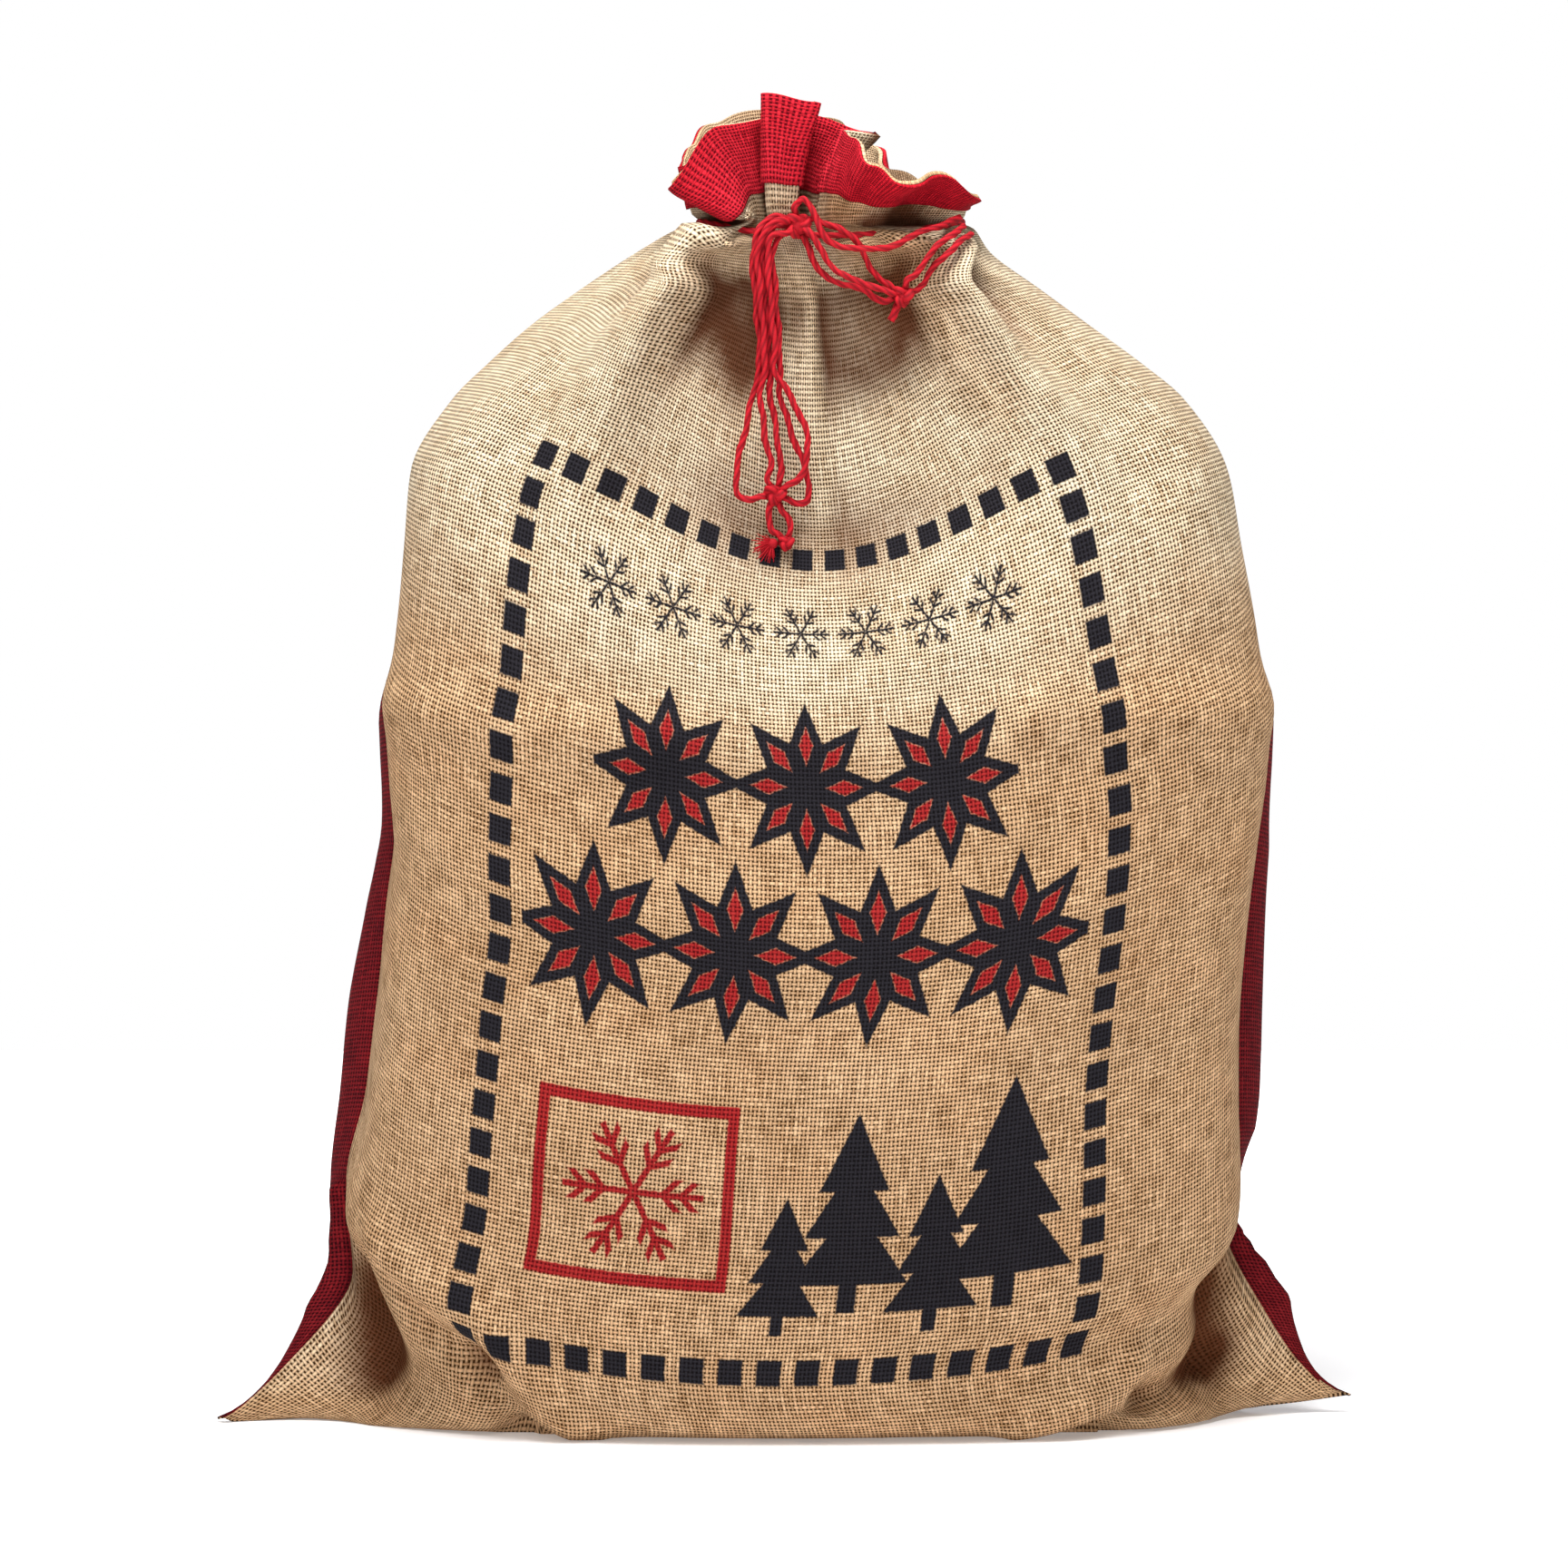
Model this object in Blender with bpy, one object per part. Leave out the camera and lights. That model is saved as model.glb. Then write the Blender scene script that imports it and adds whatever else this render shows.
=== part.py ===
"""A filled drawstring sack of open jute: two panels, a red heading, and its yarn tie.

All tables are in millimetres. The sack stands on z = 0, its front faces -Y, and +X is to the right.
Each panel is a sheet laid out by its cut: u runs across it from the left seam (-1) to the right
seam (+1), and v is the length of cloth up from the bottom seam.
"""

import math
from collections import namedtuple

import bmesh
import bpy
import numpy as np

MM = 0.001

# Driving dimensions, in mm
PANEL_HEIGHT = 668.0  # finished cut, bottom seam to mouth
PANEL_WIDTH = 500.0  # finished cut, seam to seam
CLOTH = 1.8  # thickness of the jute
HEADING_CLOTH = 1.4
GAP = 0.3  # between pieces that touch
SEAM_GAP = 0.2  # each panel's edge stands back from a side seam by this
TIE_LEVEL = 611.0  # v of the drawstring
THROAT = 11.0  # half the depth that the gathers leave open
YARN = 3.0  # diameter of a cotton yarn
YARN_STEP = 2.4  # distance between the points of a yarn, in diameters
STUB_YARN = 4.0  # the doubled end at the right knot
KNOT_GAP = 0.45  # from a knot to the end of a yarn that goes into it
RING_POINTS = 48
RING_DIP = 4.2  # the yarn round the neck runs lower at the front and back
RING_DEPTH = 5.0  # from the gathered front and back to the middle of that yarn
KNOT_GROOVE = 0.12
TASSEL_HEAD = 2.0
TASSEL_MIDDLE = (-4.9, -41.2, 386.6)
TASSEL_SPREAD = 0.1  # strands leave the head's left side, up to this far past its middle
TASSEL_LENGTH = 7.5
TASSEL_DROOP = 1.2
TASSEL_TAPER = 0.45
TIE_CLEAR = 2.9  # from the gathered sides to the middle of the yarn round them
FLOOR_ROUND = 9.0  # how softly the cloth turns up from the floor
FLOOR_LEVEL = 0.05  # under this height the cloth lies flat
EAR_RISE = 0.6  # share of the cloth at the ears that goes up and not along the floor
EAR_THICK = 10.0  # half the thickness of the flat part of an ear
EAR_POWER = 8.0
EAR_BLEND = 26.0
LEAST = 1e-6
EAR_BEND = 0.6  # u from which the ears bend, up to this height of cloth
BEND_POWER = 1.5
EAR_HEIGHT = 95.0
LEFT_EAR_FORWARD = 26.0
RIGHT_EAR_LIFT = 7.0
BACK_SAG = 0.35  # the back caves in less than the front

FRONT, BACK = -1, 1

# Sections up the cloth. v: cloth length from the bottom seam. seam_z: height of the side seams.
# left, right: outline. over_left, over_right: how far the back panel bulges past each seam.
# front, back: depth of the panels. dip: how much lower a thread runs at mid panel than at the seams.
# spread: power of the dip across. sag: how far the front caves in under the neck. body: share of the
# width that is full, with flat ears past it.
Section = namedtuple("Section", "v seam_z left right over_left over_right front back dip spread sag body")
SECTIONS = [
    Section(0, 0, -250, 250, 2, 2, 66, 66, 58, 0.50, 0, 0.87),
    Section(30, 24, -232, 237, 9, 9, 80, 84, 58, 0.50, 0, 0.87),
    Section(60, 47, -214, 226, 13, 13, 84, 91, 58, 0.50, 0, 0.87),
    Section(81, 64, -202, 215, 9, 12, 86, 93, 58, 0.50, 0, 0.89),
    Section(105, 88, -199, 200, 4, 3, 88, 95, 58, 0.55, 0, 0.95),
    Section(121, 104, -200, 203, 5, 1, 89, 96, 58, 0.55, 0, 1.00),
    Section(162, 145, -196, 210, 11, 9, 90, 97, 57, 0.60, 0, 1.00),
    Section(202, 185, -192, 211, 12, 10, 91, 97, 57, 0.65, 0, 1.00),
    Section(242, 225, -184, 212, 8, 8, 91, 97, 56, 0.70, 0, 1.00),
    Section(282, 265, -177, 214, 5, 5, 91, 96, 56, 0.80, 0, 1.00),
    Section(324, 307, -179, 217, 3, 2, 90, 95, 55, 0.90, 0, 1.00),
    Section(347, 330, -174, 211, 1, 0, 88, 94, 54, 1.00, 2, 1.00),
    Section(372, 355, -170, 207, 0, 0, 86, 92, 54, 1.20, 4, 1.00),
    Section(403, 386, -167, 201, 0, 0, 84, 91, 56, 1.60, 12, 1.00),
    Section(435, 418, -164, 195, 0, 0, 80, 88, 61, 2.20, 26, 1.00),
    Section(471, 449, -146, 176, 0, 0, 73, 78, 62, 2.80, 32, 1.00),
    Section(494, 465, -130, 157, 0, 0, 69, 69, 57, 3.00, 27, 1.00),
    Section(518, 481, -112, 135, 0, 0, 64, 62, 45, 3.00, 17, 1.00),
    Section(545, 497, -90, 113, 0, 0, 57, 53, 28, 3.00, 7, 1.00),
    Section(574, 514, -64, 90, 0, 0, 46, 43, 11, 2.00, 2, 1.00),
    Section(596, 520, -46, 83, 0, 0, 38, 38, 4, 2.00, 0, 1.00),
    Section(611, 527, -36, 77, 0, 0, 28, 30, 6, 2.00, 0, 1.00),
    Section(618, 530, -39, 79, 0, 0, 32, 33, 2, 2.00, 0, 1.00),
    Section(626, 538, -41, 80, 0, 0, 36, 36, 0, 2.00, 0, 1.00),
    Section(646, 554, -43, 78, 0, 0, 38, 38, -6, 2.00, 0, 1.00),
    Section(668, 568, -45, 76, 0, 0, 39, 39, -10, 2.00, 0, 1.00),
]
CORNER_POWER = 2.5  # squareness of a section's corners

# Folds of each panel, from its left seam to its right seam, crests and valleys by turns.
# Each has a place across the panel, -1 to 1, and stands in from the outline by so many mm, at four
# levels: over the shoulder, at the shelf just under the tie, at the tie, and at the mouth.
# drop: how much lower its edge hangs at the mouth.
Fold = namedtuple("Fold", "shoulder shelf tie mouth shoulder_in shelf_in tie_in mouth_in drop")
FRONT_FOLDS = [
    Fold(-1.00, -1.00, -1.00, -1.00, 0, 0, 0, 0, 17),  # left seam
    Fold(-0.78, -0.90, -0.70, -0.93, 13, 6, 9, 3, 17),
    Fold(-0.52, -0.74, -0.45, -0.84, -9, -5, 0, -6, 31),  # left ridge, left lobe of the ruffle
    Fold(-0.42, -0.60, -0.41, -0.54, 37, 3, 9, 0, 7),
    Fold(-0.24, -0.36, -0.37, -0.20, 46, 9, 16, 13, 5),  # left hollow, left tuck of the pleat
    Fold(-0.06, -0.17, -0.33, -0.29, 27, 5, 1, 0, -3),  # middle ridge and pleat
    Fold(0.00, -0.09, -0.23, -0.02, 25, 4, 1, 1, 1),
    Fold(0.07, 0.00, -0.17, -0.11, 42, 8, 16, 17, 5),
    Fold(0.21, 0.12, -0.12, 0.34, 46, 9, 12, 12, 13),  # lobe behind, right hollow
    Fold(0.31, 0.26, -0.06, 0.12, 46, 9, 5, 1, 11),  # left edge of the right lobe
    Fold(0.40, 0.42, 0.00, 0.17, 40, 7, 3, -2, 13),
    Fold(0.48, 0.58, 0.11, 0.26, 16, 2, 2, -9, 24),  # right lobe of the ruffle
    Fold(0.56, 0.73, 0.24, 0.40, -9, -5, 0, -14, 31),  # right ridge
    Fold(0.70, 0.84, 0.44, 0.62, 12, 6, 9, -8, 24),
    Fold(0.83, 0.93, 0.72, 0.80, 3, 2, 1, -12, 32),
    Fold(1.00, 1.00, 1.00, 1.00, 0, 0, 0, -1, 28),  # right seam
]
BACK_FOLDS = [
    Fold(-1.00, -1.00, -1.00, -1.00, 0, 0, 0, 0, 17),
    Fold(-0.80, -0.84, -0.82, -0.80, 8, 8, 13, 1, 8),
    Fold(-0.60, -0.64, -0.64, -0.62, 0, 0, 0, -1, 0),
    Fold(-0.38, -0.42, -0.42, -0.42, 20, 16, 18, 10, -2),
    Fold(-0.18, -0.20, -0.20, -0.18, 0, 0, 0, -4, -1),
    Fold(0.02, 0.02, 0.02, 0.02, 22, 17, 19, 14, 4),
    Fold(0.24, 0.26, 0.26, 0.24, 0, 0, 0, -4, 13),
    Fold(0.46, 0.50, 0.48, 0.48, 18, 15, 18, 14, 23),
    Fold(0.66, 0.68, 0.68, 0.68, 0, 0, 0, -4, 30),
    Fold(0.84, 0.86, 0.85, 0.86, 9, 8, 13, 6, 30),
    Fold(1.00, 1.00, 1.00, 1.00, 0, 0, 0, -1, 28),
]
FOLDS_START = 415.0  # v where the folds run out into the filled part
FOLD_LEVELS = [500.0, 556.0, 588.0, TIE_LEVEL, PANEL_HEIGHT]
FOLDS_FIRST = 0.4  # share of a fold's depth at the first of these levels  # v of the four levels
CURL = 0.03  # how far the sides of a full fold lean over, as a share of the panel
FULL_FOLD = 18.0
DROP_START = 621.0
DROP_TURN = (-0.45, 0.0)
DROP_POWERS = (0.45, 0.75)  # how soon the left and the right of the mouth hang down

# Creases and ridges laid on the panels: from (u0, v0) to (u1, v1), width and height in mm.
Crease = namedtuple("Crease", "u0 v0 u1 v1 width height")
FRONT_CREASES = [
    Crease(-0.98, 340, -0.30, 368, 12, 6.0),  # waist, left
    Crease(-0.30, 368, 0.40, 372, 14, 3.5),  # waist, middle
    Crease(0.40, 372, 0.99, 338, 12, 6.0),  # waist, right
    Crease(-0.95, 322, 0.95, 322, 14, -2.5),
    Crease(-0.80, 92, -0.42, 74, 12, -6.0),  # drawn in above the left ear
    Crease(0.62, 78, 0.95, 62, 11, -6.0),  # drawn in above the right ear
    Crease(-0.60, 592, -0.10, 597, 7, 7.0),  # shelf over the left hollow, in front of the tie
    Crease(0.06, 596, 0.50, 592, 7, 6.0),  # shelf over the right hollow
    Crease(-0.72, 560, -0.64, 440, 20, -6.0),  # soft valley on the left shoulder
    Crease(0.70, 560, 0.68, 450, 20, -6.0),  # soft valley on the right shoulder
    Crease(-0.34, 262, -0.06, 236, 34, -3.0),  # soft dents over what it holds
    Crease(0.30, 214, 0.52, 150, 36, 3.0),
    Crease(-0.56, 300, -0.50, 190, 30, 3.0),
    Crease(0.66, 300, 0.60, 220, 30, -3.0),
    Crease(-0.20, 150, 0.20, 120, 34, -3.0),
]
BACK_CREASES = [
    Crease(-0.98, 340, 0.98, 342, 13, 3.5),  # waist
    Crease(-0.85, 90, -0.45, 70, 13, -6.0),
    Crease(0.45, 72, 0.85, 92, 13, -6.0),
    Crease(-0.30, 500, -0.10, 400, 24, -5.0),
    Crease(0.38, 510, 0.22, 390, 24, -5.0),
]

# Knots of the tie, as lumps: middle and half sizes.
Knot = namedtuple("Knot", "middle radii")
KNOTS = {
    "knot_front": Knot((5.5, -38.6, 524.0), (6.5, 5.0, 6.0)),
    "knot_lower": Knot((-3.8, -41.0, 407.8), (5.0, 4.2, 5.2)),
    "knot_end": Knot((0.8, -41.0, 387.0), (3.6, 3.4, 3.6)),
    "knot_right": Knot((51.0, -42.0, 493.3), (5.0, 4.6, 5.0)),
}

# The hanging bundle's middle line, from the front knot down, and its yarns' places in it.
BUNDLE = [(-7.0, -42.5, 519.5), (-9.2, -43.0, 511.0), (-8.6, -42.8, 501.0), (-7.4, -42.2, 486.0)]
BUNDLE += [(-6.3, -41.5, 472.0), (-6.3, -41.5, 462.0)]

# Yarns of the tie. start, end: a knot and the direction it is left or met in, as the angle in the
# front view and the tilt to the front, in degrees. across, ahead: place in the bundle, if it runs there.
Yarn = namedtuple("Yarn", "name start end across ahead points")
YARNS = [
    Yarn("yarn_left_1", ("knot_front", 152, 0), ("knot_lower", 190, 0), -4.3, 0, [
        (-12.9, -41, 453), (-15.2, -41, 443), (-18, -41, 430), (-20.8, -41, 416), (-19.6, -41, 408),
        (-14.8, -41, 405.5),
    ]),
    Yarn("yarn_left_2", ("knot_front", 163, 38), ("knot_lower", 118, 10), -2.2, 3.5, [
        (-10.2, -44, 450), (-9, -43.5, 439), (-7.2, -42.5, 428), (-5.8, -41.8, 420),
    ]),
    Yarn("yarn_left_3", ("knot_front", 214, 0), ("knot_lower", -22, 0), 4.3, 0, [
        (-1.6, -41, 451), (1, -41, 441), (5, -41, 430), (9, -41, 419), (11, -41, 411), (9, -41, 404.8),
        (5.6, -41, 404),
    ]),
    Yarn("yarn_left_4", ("knot_front", 222, 45), ("knot_lower", 35, 25), 2.2, 3.5, [
        (1.5, -44.5, 452), (6.6, -44.8, 443), (10.2, -44.8, 431), (9.4, -44.8, 421), (5.6, -44.4, 414),
    ]),
    Yarn("yarn_left_5", ("knot_front", 183, 0), ("knot_lower", 72, 0), 0, 0, [
        (-5.6, -41, 448), (-3.4, -41, 436), (-2, -41, 424),
    ]),
    Yarn("yarn_tail_1", ("knot_lower", 245, 0), ("knot_end", 132, 0), 0, 0, [
        (-6.6, -41, 397), (-4.6, -41, 392),
    ]),
    Yarn("yarn_tail_2", ("knot_lower", 290, 0), ("knot_end", 68, 0), 0, 0, [
        (1.4, -41, 398), (3.2, -41, 393.5),
    ]),
    Yarn("yarn_right_1", ("knot_front", 98, 20), ("tie", 0, 0), 0, 0, [
        (5.6, -41, 533.5), (8.4, -42, 535.5), (11.6, -43, 531), (14.6, -44, 524), (18, -44.5, 518.5),
        (23.5, -44.5, 515), (30.5, -44.5, 513.6), (38, -44.5, 513.4), (45.5, -44, 514.6),
        (53.2, -42.5, 518), (60.5, -40.5, 521.2), (67.5, -35.5, 524), (72.5, -28, 526),
    ]),
    Yarn("yarn_right_2", ("knot_front", 22, 12), ("knot_right", 140, 0), 0, 0, [
        (16.5, -40, 524.5), (23.8, -40.4, 522.6), (30, -40.6, 518.4), (34.6, -40.4, 511),
        (38.4, -40.5, 504.4), (42.6, -41, 499.4),
    ]),
    Yarn("yarn_right_3", ("knot_front", -62, 0), ("knot_right", 196, -6), 0, 0, [
        (11.4, -40.5, 512.5), (13.4, -40.5, 507), (17.2, -40.5, 502.4), (22.6, -40.5, 499.6),
        (29.4, -40.5, 497.6), (36, -41, 494.6), (41, -41.4, 491.9),
    ]),
    Yarn("yarn_right_4", ("knot_front", -28, 40), ("knot_right", 168, 38), 0, 0, [
        (15, -45, 514), (18.6, -45.2, 508.6), (23.4, -45.2, 503.8), (29.4, -45.2, 500.4),
        (36.4, -45.6, 498), (42.4, -46.4, 496),
    ]),
    Yarn("yarn_right_5", ("knot_right", 72, 15), ("tie", 1, 0), 0, 0, [
        (56, -43.5, 502), (60.4, -43.4, 508.4), (66.4, -42, 514.6), (72.6, -37.5, 520),
    ]),
    Yarn("yarn_right_6", ("knot_right", 24, -10), ("tie", 2, 0), 0, 0, [
        (59.4, -39.8, 498.2), (64.4, -39.8, 505.2), (70.4, -40.5, 511.8), (76.4, -36.5, 517),
    ]),
    Yarn("yarn_right_stub", ("knot_right", 245, 0), ("free", 0, 0), 0, 0, [
        (47.6, -42, 485.2), (46.2, -42, 482.6),
    ]),
]
# Where the right-hand yarns come back to the yarn round the neck.
TIE_ENDS = [(76.0, -24.0, 527.6), (77.8, -28.0, 523.8), (81.0, -28.0, 520.4)]

FRONT_STEPS = 3  # columns of faces from one fold to the next
BACK_STEPS = 4
ROWS = [0, 15, 35, 55, 75, 95, 120, 160, 205, 250, 295, 325, 350, 380, 410, 440, 468, 492, 515, 537]
ROWS += [558, 575, 588, 597, 604, 611, 619, 629, 641, 654, 668]
HEADING_START = ROWS.index(629)


def column(table, name):
    return np.array([getattr(row, name) for row in table], float)


def smooth(xs, ys, x):
    """Cubic through the table's points, with slopes kept between those of its neighbours."""
    step = np.diff(xs)
    rise = np.diff(ys) / step
    slope = np.zeros(len(xs))
    same = rise[1:] * rise[:-1] > 0
    mean = 2 * rise[1:] * rise[:-1] / np.where(same, rise[1:] + rise[:-1], 1)
    slope[1:-1] = np.where(same, mean, 0)
    slope[0] = rise[0]
    slope[-1] = rise[-1]
    at = np.clip(np.searchsorted(xs, x, side="right") - 1, 0, len(step) - 1)
    t = np.clip((x - xs[at]) / step[at], 0, 1)
    low = ys[at] * (1 + 2 * t) * (1 - t) ** 2 + slope[at] * step[at] * t * (1 - t) ** 2
    return low + ys[at + 1] * t * t * (3 - 2 * t) + slope[at + 1] * step[at] * t * t * (t - 1)


def soft_min(a, b, radius):
    """The smaller of two values, rounded where they cross."""
    near = np.clip(radius - np.abs(a - b), 0, None) / radius
    return np.minimum(a, b) - radius * near**2 / 4


def level_values(table, v):
    xs = column(table, "v")
    names = [name for name in table[0]._fields if name != "v"]
    return {name: float(smooth(xs, column(table, name), v)) for name in names}


def outline(side, row):
    """Half of a section, from the left seam to the right seam, as a fine plan polyline."""
    turn = np.sin(np.linspace(-1, 1, 401) * math.pi / 2)
    bulge = 0.0
    left = row["left"] + row["over_left"]
    right = row["right"] - row["over_right"]
    depth = row["front"] if side == FRONT else row["back"]
    full = depth * (1 - np.abs(turn) ** CORNER_POWER) ** (1 / CORNER_POWER)
    body = depth * np.clip(1 - np.abs(turn / row["body"]) ** CORNER_POWER, 0, 1) ** (1 / CORNER_POWER)
    ear = EAR_THICK * (1 - np.abs(turn) ** EAR_POWER) ** (1 / CORNER_POWER)
    reach = -soft_min(-body, -ear, EAR_BLEND * (1 - np.abs(turn) ** EAR_POWER) + LEAST)
    if side == BACK:
        over = np.where(turn < 0, -row["over_left"], row["over_right"])
        bulge = over * 1.15 * np.sin(math.pi * np.clip(full / (0.62 * depth), 0, 1))
    x = (left + right) / 2 + (right - left) / 2 * turn + bulge
    return np.stack([x, side * reach], axis=1)


def fold_values(folds, us, v):
    """For each u: its place across the panel at level v, how far it stands in, and its drop."""
    cuts = column(folds, "shoulder")
    cell = np.clip(np.searchsorted(cuts, us, side="right") - 1, 0, len(cuts) - 2)
    t = (us - cuts[cell]) / (cuts[cell + 1] - cuts[cell])
    ease = (1 - np.cos(math.pi * t)) / 2
    levels = np.array([FOLDS_START] + FOLD_LEVELS)
    names = ("shoulder", "shelf", "tie", "mouth")
    across = [[fold.shoulder] * 2 + [getattr(fold, name) for name in names] for fold in folds]
    stands_in = [
        [0, FOLDS_FIRST * fold.shoulder_in] + [getattr(fold, name + "_in") for name in names] for fold in folds
    ]
    places = np.array([smooth(levels, np.array(row, float), v) for row in across])
    depths = np.array([smooth(levels, np.array(row, float), v) for row in stands_in])
    over_tie = np.clip((v - DROP_START) / (PANEL_HEIGHT - DROP_START), 0, 1)
    power = np.interp(cuts, DROP_TURN, DROP_POWERS)
    drops = column(folds, "drop") * over_tie**power
    place = np.interp(us, cuts, places)
    gather = np.clip((v - FOLD_LEVELS[1]) / (TIE_LEVEL - FOLD_LEVELS[1]), 0, 1)
    rise = depths[cell + 1] - depths[cell]
    lean = CURL * gather * np.clip(np.abs(rise) / FULL_FOLD, 0, 1) * np.sin(2 * math.pi * t)
    place = place + lean * (1 - np.abs(us) ** 8)
    depth = depths[cell] + rise * ease
    drop = drops[cell] + (drops[cell + 1] - drops[cell]) * ease
    return np.clip(place, -1, 1), depth, drop


def panel_row(side, folds, us, v):
    """The points of one thread of a panel, before its creases."""
    row = level_values(SECTIONS, v)
    place, inward, drop = fold_values(folds, us, v)
    plan = outline(side, row)
    length = np.concatenate([[0], np.cumsum(np.linalg.norm(np.diff(plan, axis=0), axis=1))])
    along = 2 * length / length[-1] - 1
    x = np.interp(place, along, plan[:, 0])
    y = np.interp(place, along, plan[:, 1])
    tangent = np.gradient(plan, axis=0)
    tangent /= np.linalg.norm(tangent, axis=1)[:, None]
    normal_x = side * np.interp(place, along, -tangent[:, 1])
    normal_y = side * np.interp(place, along, tangent[:, 0])
    middle = np.cos(math.pi / 2 * us)
    sag = row["sag"] if side == FRONT else BACK_SAG * row["sag"]
    inward = inward + sag * middle**3
    x = x - normal_x * inward
    y = y - normal_y * inward
    lying = v * (1 - EAR_RISE * np.abs(us) ** 6)
    reach = soft_min(lying + 0 * y, side * y, FLOOR_ROUND)
    kept_open = (THROAT + CLOTH) * middle**0.25 * min(v / FOLDS_START, 1)
    reach = np.maximum(reach, np.minimum(kept_open, lying))
    dip = row["dip"]
    z = row["seam_z"] - dip * middle ** row["spread"]
    z = -soft_min(-z, 0 * z, FLOOR_ROUND) - drop
    z = np.where(z < FLOOR_LEVEL, 0, z)
    bend = np.clip((np.abs(us) - EAR_BEND) / (1 - EAR_BEND), 0, 1) ** BEND_POWER * max(1 - v / EAR_HEIGHT, 0)
    y = side * reach - bend * np.where(us < 0, LEFT_EAR_FORWARD, 0)
    return np.stack([x, y, z + bend * np.where(us > 0, RIGHT_EAR_LIFT, 0)], axis=1)


def unit(vectors):
    return vectors / np.linalg.norm(vectors, axis=-1)[..., None]


def normals_of(grid, side):
    """Sum of the faces' outward normals at each point of a grid of rows."""
    across = grid[:-1, 1:] - grid[:-1, :-1]
    up = grid[1:, :-1] - grid[:-1, :-1]
    face = np.cross(across, up) + np.cross(grid[1:, 1:] - grid[1:, :-1], grid[1:, 1:] - grid[:-1, 1:])
    face = -side * unit(face)
    total = np.zeros_like(grid)
    for down in (0, 1):
        for over in (0, 1):
            rows = slice(down, grid.shape[0] - 1 + down)
            cols = slice(over, grid.shape[1] - 1 + over)
            total[rows, cols] += face
    return total


def shared_normals(grids, us):
    """Unit normals of both panels, the same on both sides of every seam."""
    a = unit(normals_of(grids[0], FRONT))
    b = unit(normals_of(grids[1], BACK))
    for edge in (0, -1):
        a[:, edge] = b[:, edge] = unit(a[:, edge] + b[:, edge])
    low_a, low_b = a[0].copy(), b[0].copy()
    for i in range(3):
        a[0, :, i] += np.interp(us[0], us[1], low_b[:, i])
        b[0, :, i] += np.interp(us[1], us[0], low_a[:, i])
    return [unit(n) for n in (a, b)]


def crease_lift(creases, us, vs):
    """How far the creases lift the cloth at each (row, column)."""
    u, v = np.meshgrid(us * PANEL_WIDTH / 2, vs)
    lift = np.zeros_like(u)
    for crease in creases:
        start = np.array([crease.u0 * PANEL_WIDTH / 2, crease.v0])
        run = np.array([crease.u1 * PANEL_WIDTH / 2, crease.v1]) - start
        size = np.linalg.norm(run)
        t = ((u - start[0]) * run[0] + (v - start[1]) * run[1]) / size**2
        t = np.clip(t, 0, 1)
        away = np.hypot(u - start[0] - t * run[0], v - start[1] - t * run[1])
        lift += crease.height * np.exp(-((away / crease.width) ** 2))
    return lift


def columns_of(folds, steps):
    """Places across a panel, so many to each side of a fold."""
    cuts = column(folds, "shoulder")
    return np.interp(np.arange(steps * (len(cuts) - 1) + 1) / steps, np.arange(len(cuts)), cuts)


def sack_grids(us, vs):
    """Outer surfaces and unit normals of the front and back panels."""
    parts = ((FRONT, FRONT_FOLDS, FRONT_CREASES), (BACK, BACK_FOLDS, BACK_CREASES))
    grids = [np.array([panel_row(side, folds, u, v) for v in vs]) for u, (side, folds, _) in zip(us, parts)]
    normals = shared_normals(grids, us)
    for grid, normal, u, (_, _, creases) in zip(grids, normals, us, parts):
        lift = crease_lift(creases, u, np.array(vs)) * (1 - np.abs(u) ** 12)
        lift = np.where(grid[:, :, 2] > 0, lift, 0)
        grid += normal * lift[:, :, None]
        grid[:, :, 2] = np.maximum(grid[:, :, 2], 0)
    return grids, shared_normals(grids, us)


def material(name, colour, roughness):
    mat = bpy.data.materials.new(name)
    mat.use_nodes = True
    shader = mat.node_tree.nodes["Principled BSDF"]
    shader.inputs["Base Color"].default_value = (*colour, 1)
    shader.inputs["Roughness"].default_value = roughness
    shader.inputs["Metallic"].default_value = 0
    return mat


def add_mesh(name, points, faces, mat):
    mesh = bpy.data.meshes.new(name)
    mesh.from_pydata([tuple(p) for p in np.asarray(points) * MM], [], faces)
    mesh.materials.append(mat)
    mesh.shade_smooth()
    obj = bpy.data.objects.new(name, mesh)
    bpy.context.scene.collection.objects.link(obj)
    return obj


def sheet_faces(rows, cols, flip):
    """Faces of a closed sheet: an outer grid, an inner grid and the strip round their edge."""
    size = rows * cols
    faces = []
    for row in range(rows - 1):
        for col in range(cols - 1):
            a = row * cols + col
            for b, c in ((a + 1, a + cols + 1), (a + cols + 1, a + cols)):
                faces.append([a, b, c])
                faces.append([size + a, size + c, size + b])
    rim = [c for c in range(cols)]
    rim += [r * cols + cols - 1 for r in range(1, rows)]
    rim += [(rows - 1) * cols + c for c in range(cols - 2, -1, -1)]
    rim += [r * cols for r in range(rows - 2, 0, -1)]
    for i, a in enumerate(rim):
        b = rim[(i + 1) % len(rim)]
        faces.append([b, a, size + a, size + b])
    if flip:
        faces = [[face[0]] + face[:0:-1] for face in faces]
    return faces


def add_sheet(name, outer, inner, side, mat):
    rows, cols = outer.shape[:2]
    points = np.concatenate([outer.reshape(-1, 3), inner.reshape(-1, 3)])
    return add_mesh(name, points, sheet_faces(rows, cols, side == BACK), mat)


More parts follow.
